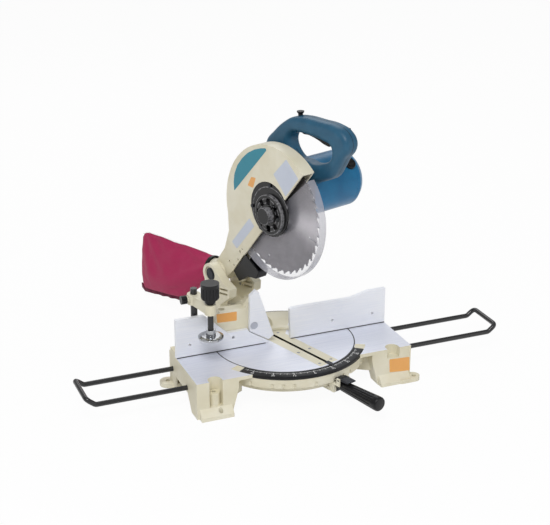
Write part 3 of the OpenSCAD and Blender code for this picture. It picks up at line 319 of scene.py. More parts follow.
def milled_casting(name, painted, across, slot=None):
    """Cream all over, and milled on the faces at the table's height where painted is nought."""
    finish = Finish(name)
    flat = finish.part("Z", finish.add("ShaderNodeTexCoord", out="Normal")).step(0.9, 0.97)
    near = finish.part("Z").step((TABLE_TOP - 0.6) * MM, (TABLE_TOP - 0.3) * MM)
    milled = flat * near * (1 - painted(finish))
    cuts = finish.drawn_out(across, 0.6)
    bright = finish.blend(cuts.step(0.35, 0.65), MILLED, MILLED_LIGHT)
    tone = finish.blend(milled, enamel_tone(finish), bright)
    if slot:
        # Painted shade darkens the walls of the saw slot below the top.
        tone = finish.blend(slot_walls(finish, slot), tone, SLOT_SHADE)
    finish.set(Base_Color=tone, Metallic=milled * 0.3, Roughness=0.42 - 0.08 * milled + 0.1 * cuts)
    peel = finish.cloud(900, 2)
    return finish.bumped(peel * (1 - milled) + cuts * milled, 0.0002, 0.3)


def bare_alloy(name, across, painted_from):
    """Plain machined alloy, with enamel on what lies behind the plane y = painted_from."""
    finish = Finish(name)
    cuts = finish.drawn_out(across, 0.6)
    stain = finish.cloud(26, 4, 0.65).step(0.55, 0.85) * 0.35
    tone = finish.blend(cuts.step(0.35, 0.65), FENCE_GREY, FENCE_LIGHT)
    painted = finish.part("Y").step(painted_from, painted_from + 0.0002)
    tone = finish.blend(painted, finish.blend(stain, tone, MILLED), enamel_tone(finish))
    finish.set(Base_Color=tone, Metallic=0.25 * (1 - painted), Roughness=0.36 + 0.12 * cuts)
    return finish.bumped(cuts, 0.0002, 0.3)


ALONG_X = (12.0, 1400.0, 1400.0)
enamel = cream_enamel("cream_enamel")
base_alloy = milled_casting("milled_base", behind_fence, ALONG_X)
table_alloy = milled_casting("milled_table", rear_sector, ALONG_X, CHANNEL_HALF)
fence_alloy = bare_alloy("machined_fence", ALONG_X, FENCE_BACK)
flip_alloy = bare_alloy("machined_flip_fence", ALONG_X, 1.0)
print("cream", CREAM, "milled", MILLED)

# %% [markdown]
# Moulded plastics carry the fine grain of the tool they were shot in. Its bumps are about a third of a
# millimetre across, and a slow cloud in the roughness keeps large faces from looking like one flat colour.


# %% Moulded plastics
def moulding(name, base, light, rough, grain=2600, depth=0.00012, slot=None):
    finish = Finish(name)
    slow = finish.cloud(22, 3)
    wear_and_glint = finish.cloud(120, 4, 0.7).step(0.6, 0.82) * 0.35
    tone = finish.blend(slow.step(0.3, 0.75) * 0.6 + wear_and_glint, base, light)
    if slot:
        # Painted shade darkens the walls of the saw slot below the top.
        tone = finish.blend(slot_walls(finish, slot), tone, SLOT_SHADE)
    finish.set(Base_Color=tone, Roughness=rough - 0.08 + 0.16 * slow, Specular_IOR_Level=0.35)
    return finish.bumped(finish.cloud(grain, 2), depth, 0.4)


blue_plastic = moulding("blue_moulding", "#23536F", "#356B88", 0.4)
motor_blue = moulding("motor_moulding", "#0E6796", "#1A80B0", 0.32)
black_plastic = moulding("black_moulding", "#0C0C0E", "#1E1E22", 0.36)
kerf_plastic = moulding("kerf_moulding", "#E2DCC4", "#EAE5D2", 0.5, slot=KERF_HALF)
dark_casting = moulding("dark_casting", "#3C4148", "#555B63", 0.5, 900, 0.0002)
print("plastics", blue_plastic.name, black_plastic.name, kerf_plastic.name)

# %% [markdown]
# Turned and ground steel shows its tool marks as rings or as short scratches. The blade is a ground disc, so
# its marks are rings about the spindle; a painted sheen, a bright fan in one direction, is laid into its
# colour.


# %% Metals
def scratched_metal(name, dark, light, rough, scale=(900.0, 900.0, 900.0)):
    finish = Finish(name)
    marks = finish.drawn_out(scale, 0.65)
    slow = finish.cloud(60, 3)
    finish.set(Base_Color=finish.blend(marks * 0.6 + slow * 0.4, dark, light), Metallic=1.0)
    finish.set(Roughness=rough - 0.06 + 0.16 * marks)
    return finish.bumped(marks, 0.00008, 0.35)


SHEEN_TURN = math.radians(-47)


def ground_disc(name, dark, light):
    finish = Finish(name)
    arm = finish.from_spindle()
    radius = finish.length(arm)
    up = finish.along(HEAD_ABOVE, arm) / radius
    ahead = finish.along(HEAD_AHEAD, arm) / radius
    rings = finish.cloud(1.0, 3, 0.7, finish.add("ShaderNodeCombineXYZ", None, {0: radius * 2600.0}))
    # A painted sheen: the colour turns bright in a narrow fan along one direction across the disc.
    painted_sheen = (ahead * math.cos(SHEEN_TURN) + up * math.sin(SHEEN_TURN)).size().power(20.0)
    worn = finish.cloud(45, 4, 0.7)
    tone = rings * 0.2 + painted_sheen * 0.62 + worn * 0.25
    finish.set(Base_Color=finish.blend(tone, dark, light), Metallic=0.9)
    finish.set(Roughness=0.3 + 0.14 * rings - 0.06 * painted_sheen)
    return finish.bumped(rings, 0.00005, 0.35)


def ringed_hub(name, rings):
    """Glossy black, with painted highlights on its turned rims."""
    finish = Finish(name)
    radius = finish.length(finish.vector("CROSS_PRODUCT", finish.from_spindle(), SPINDLE_AXIS))
    wear_and_glint = finish.cloud(160, 4, 0.7).step(0.3, 0.6)
    # Painted highlights: a thin light ring at each rim's radius, broken up by a cloud.
    bright = 0.0
    for ring in rings:
        bright = bright + (1 - (radius - ring * MM).size().step(0.0003, 0.0012))
    finish.set(Base_Color=finish.blend(bright * wear_and_glint * 0.75, "#0A0A0C", "#A5A4A8"))
    finish.set(Roughness=0.14 + 0.16 * finish.cloud(60), Specular_IOR_Level=0.4)
    return finish.bumped(finish.cloud(1500, 2), 0.0001, 0.3)


steel = scratched_metal("turned_steel", "#85878C", "#B9BBC0", 0.34)
dark_steel = scratched_metal("blackened_steel", "#2C2D31", "#4A4C52", 0.42)
bright_alloy = scratched_metal("bright_alloy", "#B9BBC2", "#D8DAE0", 0.3)
chrome = scratched_metal("plated_pad", "#8C8E93", "#C9CBCF", 0.16)
carbide = scratched_metal("carbide_tips", "#A4A5A8", "#DCDDE0", 0.2)
laminations = scratched_metal("core_laminations", "#5A5652", "#7A746E", 0.5, (3000.0, 300.0, 300.0))
hub_black = ringed_hub("hub_black", (17.5, 25, 34, 41.5, 57))
blade_steel = ground_disc("ground_blade", "#464244", "#E6E2E6")
print("metals", steel.name, chrome.name, blade_steel.name)

# %% [markdown]
# The holder rods and the vise are dipped in a black coat, which lies smooth and half glossy with a few rubbed
# spots. The safety cover is a clear moulding: nearly all of the light passes the flat wall, while the deeper
# band round its rim stops more, so its alpha grows with the distance from the spindle.


# %% Black coat and the clear cover
def black_coat(name):
    finish = Finish(name)
    wear_and_glint = finish.cloud(180, 5, 0.7).step(0.66, 0.8)
    finish.set(Base_Color=finish.blend(wear_and_glint * 0.5, "#131316", "#3A3A40"))
    finish.set(Roughness=0.28 + 0.2 * finish.cloud(90), Coat_Weight=0.4, Coat_Roughness=0.15)
    return finish.bumped(finish.cloud(500, 3), 0.0002, 0.25)


def clear_moulding(name, rim_start, rim_end):
    finish = Finish(name)
    radius = finish.length(finish.from_spindle())
    rim = radius.step(rim_start, rim_end)
    haze = finish.cloud(70, 4, 0.6)
    edge = finish.add("ShaderNodeLayerWeight", None, {"Blend": 0.25}, out="Facing")
    clear = finish.blend(haze, "#C9C8D4", "#E2E2EA")
    outer_wall_shade = radius.step(rim_end, rim_end + 0.0006)
    # Painted shade: the colour darkens where the cover is seen edge-on and on its outer rim wall, drawing a
    # dark outline.
    finish.set(Base_Color=finish.blend(edge * 0.8 + outer_wall_shade * 0.3, clear, "#6E6C78"))
    finish.set(Roughness=0.08 + 0.12 * haze, Alpha=0.04 + 0.14 * rim + 0.42 * edge + 0.3 * outer_wall_shade)
    finish.set(Coat_Weight=0.3, Coat_Roughness=0.05)
    return finish.bumped(haze, 0.0004, 0.15)


rod_coat = black_coat("black_coat")
RIM_START, RIM_END = 134, 139
clear_plastic = clear_moulding("clear_moulding", RIM_START * MM, RIM_END * MM)
print("clear cover's rim band starts at", RIM_START, "mm from the spindle")

# %% [markdown]
# The dust bag is a plain weave of coarse dyed yarn. Two sets of waves at right angles, in the bag's own plane,
# give the over-and-under of the yarns; clouds give the slubs in the thread and the paler, dusty folds.


# %% Bag cloth
def woven_cloth(name, base, light, dust, yarns):
    finish = Finish(name)
    fray = (finish.cloud(300, 3) - 0.5) * 1.6
    warp = (finish.along(BAG_ALONG) * yarns + fray).sine()
    weft = (finish.along(BAG_UP) * yarns + fray).sine()
    weave = warp * weft * 0.5 + 0.5
    slub = finish.cloud(420, 4, 0.6)
    fold = finish.cloud(16, 4, 0.6).step(0.5, 0.8)
    dyed = finish.blend(weave * 0.45 + slub * 0.4, base, light)
    finish.set(Base_Color=finish.blend(fold * 0.1, dyed, dust), Roughness=0.82 + 0.1 * slub)
    finish.set(Sheen_Weight=0.08, Sheen_Roughness=0.5)
    return finish.bumped(weave + slub * 0.5, 0.0003, 0.55)


NOZZLE_TILT = math.radians(38) - RAISE


def on_nozzle(x, along, above):
    return on_pivot(x, along, above, NOZZLE_TILT)


BAG_ALONG = (on_nozzle(0, 1, 0) - on_nozzle(0, 0, 0)).normalized()
BAG_UP = (on_nozzle(0, 0, 1) - on_nozzle(0, 0, 0)).normalized()
YARNS_PER_METRE = 2 * math.pi * 620
bag_cloth = woven_cloth("bag_cloth", "#A01249", "#C22A63", "#C8668F", YARNS_PER_METRE)
hem_cloth = woven_cloth("hem_cloth", "#560A28", "#701238", "#86405E", YARNS_PER_METRE)
print("yarns in a metre of cloth", round(YARNS_PER_METRE / math.pi))

# %% [markdown]
# Stickers are plain vinyl: one colour with a faint sheen and slight scuffs.


# %% Sticker vinyl
def vinyl(name, base, light):
    finish = Finish(name)
    scuff = finish.cloud(260, 5, 0.7).step(0.55, 0.8)
    finish.set(Base_Color=finish.blend(finish.cloud(30, 3) * 0.5 + scuff * 0.3, base, light))
    finish.set(Roughness=0.34 + 0.2 * scuff, Coat_Weight=0.2)
    return finish.bumped(finish.cloud(700, 2), 0.00008, 0.3)


teal_vinyl = vinyl("teal_vinyl", "#007C92", "#1F93A6")
pale_vinyl = vinyl("pale_vinyl", "#C3CAD9", "#D6DCE7")
orange_vinyl = vinyl("orange_vinyl", "#EBA552", "#F4BC74")
white_paint = vinyl("white_marks", "#E4E4E2", "#F4F4F2")
print("vinyls", teal_vinyl.name, pale_vinyl.name, orange_vinyl.name)

# %% [markdown]
# ## Dressing the solids
# Every carried-over solid gets its finish first. Then the pieces whose sharp edges would give the model away
# are copied, their edges are rounded with a bevel, and the copy takes the solid's place on the same body.

# %% Finishes of the carried-over solids
finish_of = {
    enamel: "arm blade_case dust_nozzle vise_arm",
    base_alloy: "base",
    table_alloy: "turn_base",
    fence_alloy: "guide_fence",
    flip_alloy: "sub_fence",
    kerf_plastic: "left_kerf_board right_kerf_board",
    bright_alloy: "sub_fence_pin",
    steel: "pivot_bolt kerf_board_screws lock_rod bevel_bolt stopper_pin spindle drive_gear "
           "inner_flange outer_flange spindle_bearings motor_bearings",
    dark_steel: "fence_bolts blade_bolt case_screws handle_screws return_spring mitre_pointer "
                "carbon_brushes pivot_shaft stop_lever",
    blade_steel: "saw_blade",
    laminations: "armature stator",
    black_plastic: "mitre_scale lock_grip brush_caps switch_block trigger lock_off_button shaft_lock "
                   "cooling_fan dust_chute vise_lock_knob vise_knob bevel_lock_lever",
    rod_coat: "vise_post vise_screw left_holder right_holder",
    dark_casting: "gear_housing",
    hub_black: "center_cover",
    blue_plastic: "handle_left handle_right",
    motor_blue: "motor_housing motor_end_cover",
    clear_plastic: "safety_cover",
    bag_cloth: "dust_bag",
    chrome: "vise_pad",
}
node_finish = {node: material for material, nodes in finish_of.items() for node in nodes.split()}
body_of = {node: body for body, nodes in frame["record"]["behaviour"]["bodies"].items() for node in nodes}
slot_of = {part["node"]: part["material_slot"] for part in frame["record"]["subparts"]}
for node, piece in frame["nodes"].items():
    dressed(piece.data, node_finish[node])
print("finished solids", len(node_finish))


# %% Helpers that make pieces
def made_mesh(thing):
    """The mesh of a piece, a curve or a text, with its modifiers worked in."""
    bpy.context.view_layer.update()
    return bpy.data.meshes.new_from_object(thing.evaluated_get(bpy.context.evaluated_depsgraph_get()))


def drawn(name, curve):
    """The mesh of a curve or a text that isn't kept itself."""
    drawing = linked(name, curve)
    mesh = made_mesh(drawing)
    bpy.data.objects.remove(drawing)
    return mesh


def settle(piece):
    """Writes a piece's modifiers into its mesh."""
    made = made_mesh(piece)
    piece.modifiers.clear()
    return given(piece, data=made)


def modified(piece, kind, **values):
    given(piece.modifiers.new(kind.lower(), kind), **values)
    return settle(piece)


def smooth(piece, angle=35):
    piece.data.shade_smooth()
    piece.data.set_sharp_from_angle(angle=math.radians(angle))
    return piece


def riding(piece, body):
    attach(piece, body)
    return piece


def new_piece(name, verts, faces, material, body, slot):
    mesh = bpy.data.meshes.new(name)
    mesh.from_pydata([tuple(v) for v in verts], [], faces)
    return riding(linked(name, dressed(mesh, material)), body)


def skin(rows, capped=True):
    """The points of rows of equal length, and the faces that join each row to the next."""
    count, points = len(rows[0]), [point for row in rows for point in row]
    faces = []
    for first in range(0, len(points) - count, count):
        for k in range(count):
            a, b = first + k, first + (k + 1) % count
            faces.append((a, b, b + count, a + count))
    if capped:
        faces += [tuple(reversed(range(count))), tuple(range(len(points) - count, len(points)))]
    return points, faces


def merged(shells):
    """The points and faces of several shells as one."""
    points, faces = [], []
    for more, flat in shells:
        faces += [tuple(len(points) + k for k in face) for face in flat]
        points += more
    return points, faces


def bend(start, corner, end, steps):
    """Points on a curve that leaves start toward the corner and comes to end from it."""
    shares = [k / steps for k in range(steps + 1)]
    return [(1 - t) ** 2 * start + 2 * t * (1 - t) * corner + t * t * end for t in shares]


def circle(sides):
    """The cosine and sine of each step round a circle."""
    return [(math.cos(2 * math.pi * k / sides), math.sin(2 * math.pi * k / sides)) for k in range(sides)]


def face_out(piece, weld=0.0):
    """Turns all faces outward, after welding points that lie closer than weld."""
    work = bmesh.new()
    work.from_mesh(piece.data)
    if weld:
        bmesh.ops.remove_doubles(work, verts=work.verts, dist=weld)
    bmesh.ops.recalc_face_normals(work, faces=work.faces)
    work.to_mesh(piece.data)
    work.free()
    return piece


def copy_of(node, name):
    """A welded copy of a solid's mesh with its flat faces whole again."""
    mesh = bpy.data.meshes.new(name)
    work = bmesh.new()
    work.from_mesh(frame["nodes"][node].data)
    bmesh.ops.remove_doubles(work, verts=work.verts, dist=2e-6)
    bmesh.ops.dissolve_limit(work, angle_limit=math.radians(0.6), verts=work.verts, edges=work.edges)
    work.to_mesh(mesh)
    work.free()
    return linked(name, dressed(mesh, node_finish[node]))


def stand_for(piece, *nodes):
    riding(piece, body_of[nodes[0]])
    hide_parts(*nodes)
    return piece


def strays(piece, node):
    """The furthest that a piece's surface lies from the solid it stands for, in metres."""
    solid = frame["nodes"][node].data
    tree = BVHTree.FromPolygons([v.co for v in solid.vertices], [p.vertices for p in solid.polygons])
    piece.data.calc_loop_triangles()
    corners = piece.data.vertices
    middles = (sum((corners[i].co for i in t.vertices), Vector()) / 3 for t in piece.data.loop_triangles)
    return max(tree.find_nearest(middle)[3] for middle in middles)


def bevelled(node, width):
    piece = copy_of(node, node + "_rounded")
    modified(piece, "BEVEL", width=width * MM, segments=2, limit_method="ANGLE", angle_limit=math.radians(32),
             use_clamp_overlap=False)
    return modified(smooth(piece), "WEIGHTED_NORMAL", keep_sharp=True)


FOLD_LIMIT, LEAST_EDGE = 0.4, 0.1


def rounded(node, width):
    """A copy with broken edges; where thin ribs make the bevel fold over, it is tried again narrower."""
    piece = bevelled(node, width)
    while strays(piece, node) > FOLD_LIMIT * MM and width > LEAST_EDGE:
        bpy.data.objects.remove(piece)
        width *= 0.7
        piece = bevelled(node, width)
    print(node, "rounded by", round(width, 2), "mm, strays", round(strays(piece, node) / MM, 2), "mm")
    return stand_for(piece, node)


# %% [markdown]
# Castings have fillets of a millimetre or two, moulded covers a little less, and machined plates only a broken
# edge. The widths below are those of the real processes.

# %% Rounded castings and covers
EDGE_MM = {"base": 0.8, "arm": 1.6, "blade_case": 1.2, "guide_fence": 0.7, "sub_fence": 0.7, "turn_base": 0.6,
           "gear_housing": 1.6, "motor_housing": 0.8, "motor_end_cover": 1.2, "vise_arm": 1.4,
           "dust_chute": 0.9, "center_cover": 0.7, "dust_nozzle": 0.6, "vise_pad": 0.5, "stop_lever": 0.4,
           "left_kerf_board": 0.3, "right_kerf_board": 0.3, "safety_cover": 0.4, "vise_knob": 0.5}
for node, width in EDGE_MM.items():
    rounded(node, width)

# %% [markdown]
# ## Handle
# The D-handle is a fat, soft-edged moulding. It is drawn as a flat curve with a hole in it, and the curve's
# bevel rounds both rims to full radii. A fine remesh and a little relaxing then melt the joins, as a mould
# maker would blend them.

# %% Head plane and rounded mouldings
HANDLE_X = 50


def head_plane(x):
    """Carries a drawing in (ahead, above, left) metres into the row frame at x on the spindle's axis."""
    turn = Matrix((HEAD_AHEAD, HEAD_ABOVE, -SPINDLE_AXIS)).transposed().to_4x4()
    return Matrix.Translation(SPINDLE + SPINDLE_AXIS * x * MM) @ turn


def moulded(name, loops, material, width, radius, voxel, passes):
    """A flat closed outline with holes, blown up to a width with rounded rims."""
    curve = given(bpy.data.curves.new(name, "CURVE"), dimensions="2D", fill_mode="BOTH", resolution_u=10,
                  bevel_resolution=5, bevel_depth=radius * MM, extrude=(width / 2 - radius) * MM,
                  offset=-radius * MM)
    for loop in loops:
        spline = curve.splines.new("BEZIER")
        spline.bezier_points.add(len(loop) - 1)
        spline.use_cyclic_u = True
        for point, (ahead, above) in zip(spline.bezier_points, loop):
            point.co = (ahead * MM, above * MM, 0)
            point.handle_left_type = point.handle_right_type = "AUTO"
    mesh = drawn(name + "_drawing", curve)
    mesh.transform(head_plane(HANDLE_X))
    piece = linked(name, mesh)
    modified(piece, "REMESH", mode="VOXEL", voxel_size=voxel * MM)
    modified(piece, "SMOOTH", factor=0.5, iterations=passes)
    dressed(piece.data, material).shade_smooth()
    return piece


# %% Handle and trigger
HANDLE_OUTLINE = [(14, 92), (20, 128), (38, 145), (74, 147), (118, 142), (143, 134), (166, 119), (204, 83),
                  (233, 53), (247, 27), (245, 4), (231, -8), (207, -11), (181, -17), (155, -21), (131, -14),
                  (108, -4), (84, 4), (60, 30), (36, 64)]
HANDLE_HOLE = [(96, 98), (106, 108), (122, 109), (140, 97), (165, 72), (186, 46), (197, 28), (191, 15),
               (174, 9), (148, 17), (125, 31), (111, 49), (98, 62), (93, 80)]
handle = moulded("handle_skin", [HANDLE_OUTLINE, HANDLE_HOLE], blue_plastic,
                 width=37, radius=11.5, voxel=1.5, passes=8)
stand_for(handle, "handle_left", "handle_right")
TRIGGER_OUTLINE = [(138, 106), (138, 97), (153, 81), (168, 60), (181, 38), (189, 31), (198, 37), (187, 58),
                   (165, 84), (146, 105)]
trigger = moulded("trigger_paddle", [TRIGGER_OUTLINE], black_plastic, width=18, radius=4, voxel=0.9, passes=4)
stand_for(trigger, "trigger")
print("handle", len(handle.data.polygons), "faces, trigger", len(trigger.data.polygons), "faces")

# %% [markdown]
# The handle is split down its middle, and the halves meet in a fine dark line. The line is a thin strip that
# follows the outline just proud of the skin, the way a parting line catches the light.


# %% Parting line of the handle
HANDLE_MIDDLE = Vector((140, 60))
SEAM_STEPS, SEAM_HALF, SEAM_LIFT, SEAM_BREAK, SEAM_VIEW = 8, 0.5, 0.15, 20, 40


def parting_line(name, piece, loop, node):
    """A strip on the skin of a piece, found by looking at it from beyond the loop toward its middle."""
    verts, faces = [], []
    for i in range(len(loop) * SEAM_STEPS):
        k, t = divmod(i, SEAM_STEPS)
        point = Vector(loop[k]).lerp(Vector(loop[(k + 1) % len(loop)]), t / SEAM_STEPS)
        outward = (point - HANDLE_MIDDLE).normalized()
        inward = (on_head(0, 0, 0) - on_head(0, *outward)).normalized()
        hit, place, normal, _ = piece.ray_cast(on_head(HANDLE_X, *(point + outward * SEAM_VIEW)), inward)
        if hit:
            lifted, half = place + normal * SEAM_LIFT * MM, SPINDLE_AXIS * SEAM_HALF * MM
            verts += [lifted - half, lifted + half]
    for i in range(0, len(verts) - 2, 2):
        if (verts[i] - verts[i + 2]).length < SEAM_BREAK * MM:
            faces.append((i, i + 1, i + 3, i + 2))
    return new_piece(name, verts, faces, black_plastic, body_of[node], slot_of[node])


line = parting_line("handle_seam", handle, HANDLE_OUTLINE[2:16], "handle_left")
print("parting line", len(line.data.polygons), "faces")

# %% [markdown]
# ## Side grip
# The grip that locks the table is a tapered moulding, thicker at its free end, with flutes for the fingers.
# Its length is read from the solid, a profile gives the taper, and a cosine round the section cuts the flutes.

# %% Fluted grip
GRIP_Z, GRIP_RIBS, GRIP_SIDES = 44, 12, 96
grip_foot = on_table(0, 0, GRIP_Z)
grip_reach = [(v.co - grip_foot).dot(TABLE_AHEAD) / MM for v in frame["nodes"]["lock_grip"].data.vertices]
grip_root, grip_tip = min(grip_reach), max(grip_reach)
grip_profile = [(0, 9, 0), (6, 10, 0), (10, 10.6, 0), (13, 10.9, 0.9), (60, 12.9, 1.2), (101, 14.6, 1.2),
                (104, 14.8, 0.9), (107, 15, 0), (115, 15, 0), (117.6, 14.2, 0), (118.7, 13, 0)]
grip_profile += [(grip_tip - grip_root, 12, 0)]
flute = [max(0.0, math.cos(GRIP_RIBS * 2 * math.pi * k / GRIP_SIDES)) ** 2 for k in range(GRIP_SIDES)]
grip_rows = []
for along, radius, deep in grip_profile:
    middle = grip_foot + TABLE_AHEAD * (grip_root + along) * MM
    grip_rows.append([middle + (TABLE_SIDE * c + Vector((0, 0, s))) * (radius - deep * cut) * MM
                      for (c, s), cut in zip(circle(GRIP_SIDES), flute)])
grip = new_piece("fluted_grip", *skin(grip_rows), black_plastic, "grip", slot_of["lock_grip"])
smooth(grip, 40)
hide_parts("lock_grip")
print("grip from", round(grip_root, 1), "to", round(grip_tip, 1), "mm ahead of the table's axis")

# %% [markdown]
# ## Holder rods
# Each holder is one steel rod bent cold into a loop, so its corners are round. The route's corners are cut back
# and bridged with arcs, and a ring of points is carried along the route without twisting.


# %% Swept rods
def filleted(route, radius, steps=7):
    points = [route[0]]
    for before, corner, after in zip(route, route[1:], route[2:]):
        back, on = before - corner, after - corner
        reach = min(radius / math.tan(back.angle(on) / 2), back.length * 0.48, on.length * 0.48)
        points += bend(corner + back.normalized() * reach, corner, corner + on.normalized() * reach, steps)
    return points + [route[-1]]


def swept(name, points, radius, sides, material, body, slot):
    rows = []
    side = Vector((0, 0, 1))
    for i, point in enumerate(points):
        ahead = (points[min(i + 1, len(points) - 1)] - points[max(i - 1, 0)]).normalized()
        side = (side - ahead * side.dot(ahead)).normalized()
        up = ahead.cross(side)
        rows.append([point + (side * c + up * s) * radius for c, s in circle(sides)])
    return smooth(new_piece(name, *skin(rows), material, body, slot), 50)


ROD_RADIUS, ROD_Z, ROD_LIFT, ROD_SLOPE, ROD_BEND = 5.25, 44, 14, 18, 11
ROD_INNER, ROD_NEAR, ROD_FAR = 200, -64, 28
for side_name, sign, reach in (("left", -1, 446), ("right", 1, 480)):
    corners = [(ROD_INNER, ROD_NEAR, ROD_Z), (reach - ROD_SLOPE, ROD_NEAR, ROD_Z),
               (reach, ROD_NEAR, ROD_Z + ROD_LIFT), (reach, ROD_FAR, ROD_Z + ROD_LIFT),
               (reach - ROD_SLOPE, ROD_FAR, ROD_Z), (ROD_INNER, ROD_FAR, ROD_Z)]
    route = filleted([on_stand(sign * x, y, z) for x, y, z in corners], ROD_BEND * MM)
    node = side_name + "_holder"
    rod = swept(node + "_rod", route, ROD_RADIUS * MM, 20, rod_coat, node, slot_of[node])
    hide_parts(node)
    print(node, "bent from", round(sum((a - b).length for a, b in zip(route, route[1:])), 3), "m of rod")

# %% [markdown]
# ## Dust bag
# The bag is two panels of cloth sewn along the top, the bottom and the back, and gathered on the nozzle. It is
# lofted from sections between the two seams, round at the neck and flat at the back. A cloth simulation with a
# little air inside then lets it wrinkle and sag between its seams.

# %% Loft of the bag
BAG_RINGS, BAG_SIDES = 44, 40
TOP_SEAM = [(0.0, 38, 22), (0.12, 70, 27), (0.9, 288, 43), (0.96, 305, 40), (1.0, 315, 28)]
LOW_SEAM = [(0.0, 38, -22), (0.12, 72, -44), (0.42, 168, -97), (0.96, 331, -102), (1.0, 339, -93)]
FULLNESS = [(0.0, 22), (0.12, 26), (0.5, 34), (0.8, 27), (0.95, 13), (1.0, 3)]


def between(stops, t):
    for low, high in zip(stops, stops[1:]):
        if t <= high[0]:
            share = (t - low[0]) / (high[0] - low[0])
            return [a + (b - a) * share for a, b in zip(low[1:], high[1:])]
    return list(stops[-1][1:])


def bag_point(u, turn):
    top, low = Vector(between(TOP_SEAM, u)), Vector(between(LOW_SEAM, u))
    swell = between(FULLNESS, u)[0]
    rise, spread = math.sin(turn), math.cos(turn)
    pinch = 1.0 + 0.35 * min(1.0, u * 4)
    wide = swell * math.copysign(abs(spread) ** pinch, spread)
    seam = (top + low) / 2 + (top - low) / 2 * rise
    return on_nozzle(wide, seam.x, seam.y)


def loft_bag():
    """Rings of points along the bag, and a last row of faces that sews its back end shut."""
    turns = [2 * math.pi * k / BAG_SIDES for k in range(BAG_SIDES)]
    rows = [[bag_point(i / (BAG_RINGS - 1), turn) for turn in turns] for i in range(BAG_RINGS)]
    verts, faces = skin(rows, capped=False)
    faces = [(a, d, c, b) for a, b, c, d in faces]
    last, quarter = len(verts) - BAG_SIDES, BAG_SIDES // 4
    for k in range(1, BAG_SIDES // 2):
        a, b, c, d = (last + (quarter + step) % BAG_SIDES for step in (k, -k, k - 1, 1 - k))
        faces.append((a, b, d, c) if k > 1 else (a, b, c))
    low = last + 3 * quarter
    return verts, faces + [(low, low + 1, low - 1)]


bag = new_piece("sewn_bag", *loft_bag(), bag_cloth, "head", "bag_cloth")
face_out(bag, 1e-5)
print("bag loft", len(bag.data.vertices), "points")

# %% [markdown]
# Before the simulation the loft gets a few broad, fixed wrinkles that run from the neck and the seams, because
# cloth that starts perfectly smooth also stays too smooth. The neck is pinned, the seams are held a little.


# %% Wrinkles and the cloth simulation
def in_bag(place, direction):
    return (place - on_nozzle(0, 0, 0)).dot(direction)


def wrinkle(place):
    along, up = in_bag(place, BAG_ALONG), in_bag(place, BAG_UP)
    pulled = noise.noise(Vector((along * 9, up * 34 + along * 14, 3.1))) * 0.0032
    fine = noise.noise(Vector((along * 30, up * 70 - along * 25, 7.7))) * 0.0011
    return (pulled + fine) * min(1.0, max(0.0, along - 0.05) * 14)


for vertex, normal in zip(bag.data.vertices, [v.normal.copy() for v in bag.data.vertices]):
    vertex.co = vertex.co + normal * wrinkle(vertex.co)


def blow_up(piece, pinned, pressure, weight, cap, frames=20):
    start = [v.co.copy() for v in piece.data.vertices]
    group = piece.vertex_groups.new(name="held")
    for index, share in pinned.items():
        group.add([index], share, "REPLACE")
    cloth = piece.modifiers.new("cloth", "CLOTH")
    given(cloth.settings, quality=6, mass=0.25, tension_stiffness=25, compression_stiffness=25,
          bending_stiffness=0.6, vertex_group_mass="held", use_pressure=True, uniform_pressure_force=pressure)
    cloth.settings.effector_weights.gravity = weight
    given(cloth.point_cache, frame_start=1, frame_end=frames)
    for step in range(1, frames + 1):
        scene.frame_set(step)
    settle(piece)
    scene.frame_set(1)
    for vertex, first in zip(piece.data.vertices, start):
        moved = vertex.co - first
        if moved.length > cap:
            vertex.co = first + moved * (cap / moved.length)
    piece.vertex_groups.clear()
    return max((v.co - f).length for v, f in zip(piece.data.vertices, start))


NECK_END, SEAM_REACH = 46, 4
held = {}
for vertex in bag.data.vertices:
    if in_bag(vertex.co, BAG_ALONG) < NECK_END * MM:
        held[vertex.index] = 1.0
    elif abs(in_bag(vertex.co, SPINDLE_AXIS)) < SEAM_REACH * MM:
        held[vertex.index] = 0.5
moved = blow_up(bag, held, pressure=1.2, weight=0.35, cap=0.009)
print("bag moved up to", round(moved / MM, 1), "mm")
modified(bag, "SUBSURF", levels=1, render_levels=1)
dressed(bag.data, bag_cloth).shade_smooth()
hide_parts("dust_bag")
print("bag", len(bag.data.polygons), "faces")

# %% [markdown]
# The bag's lower seam carries a darker hem that closes it, and a band holds its mouth on the nozzle. A
# doubled row of stitches runs along the top seam.

# %% Hem, band and stitches of the bag
HEM_STEPS, HEM_FROM, HEM_SPAN, HEM_HALF, HEM_TOP = 40, 0.43, 0.575, 0.0016, 0.003
hem_rows = []
for i in range(HEM_STEPS + 1):
    u = HEM_FROM + HEM_SPAN * i / HEM_STEPS
    along, above = between(LOW_SEAM, min(u, 1.0))
    centre = on_nozzle(0.8 * math.sin(i * 0.9), along + max(0.0, u - 1.0) * 300, above)
    low = -0.0085 - 0.0006 * math.sin(i * 0.7)
    corners = ((-HEM_HALF, low), (HEM_HALF, low), (HEM_HALF, HEM_TOP), (-HEM_HALF, HEM_TOP))
    hem_rows.append([centre + SPINDLE_AXIS * wide + BAG_UP * rise for wide, rise in corners])
new_piece("bag_hem", *skin(hem_rows), hem_cloth, "head", "bag_cloth")


def spun(name, profile, at, axis, side, count, material, body, slot, sharp=35):
    """Turns a profile of (along, radius) millimetres about an axis."""
    up = axis.cross(side).normalized()
    rows = [[at + (axis * along + (side * c + up * s) * radius) * MM for c, s in circle(count)]
            for along, radius in profile]
    shell = skin(rows, capped=profile[0] != profile[-1])
    return smooth(new_piece(name, *shell, material, body, slot), sharp)


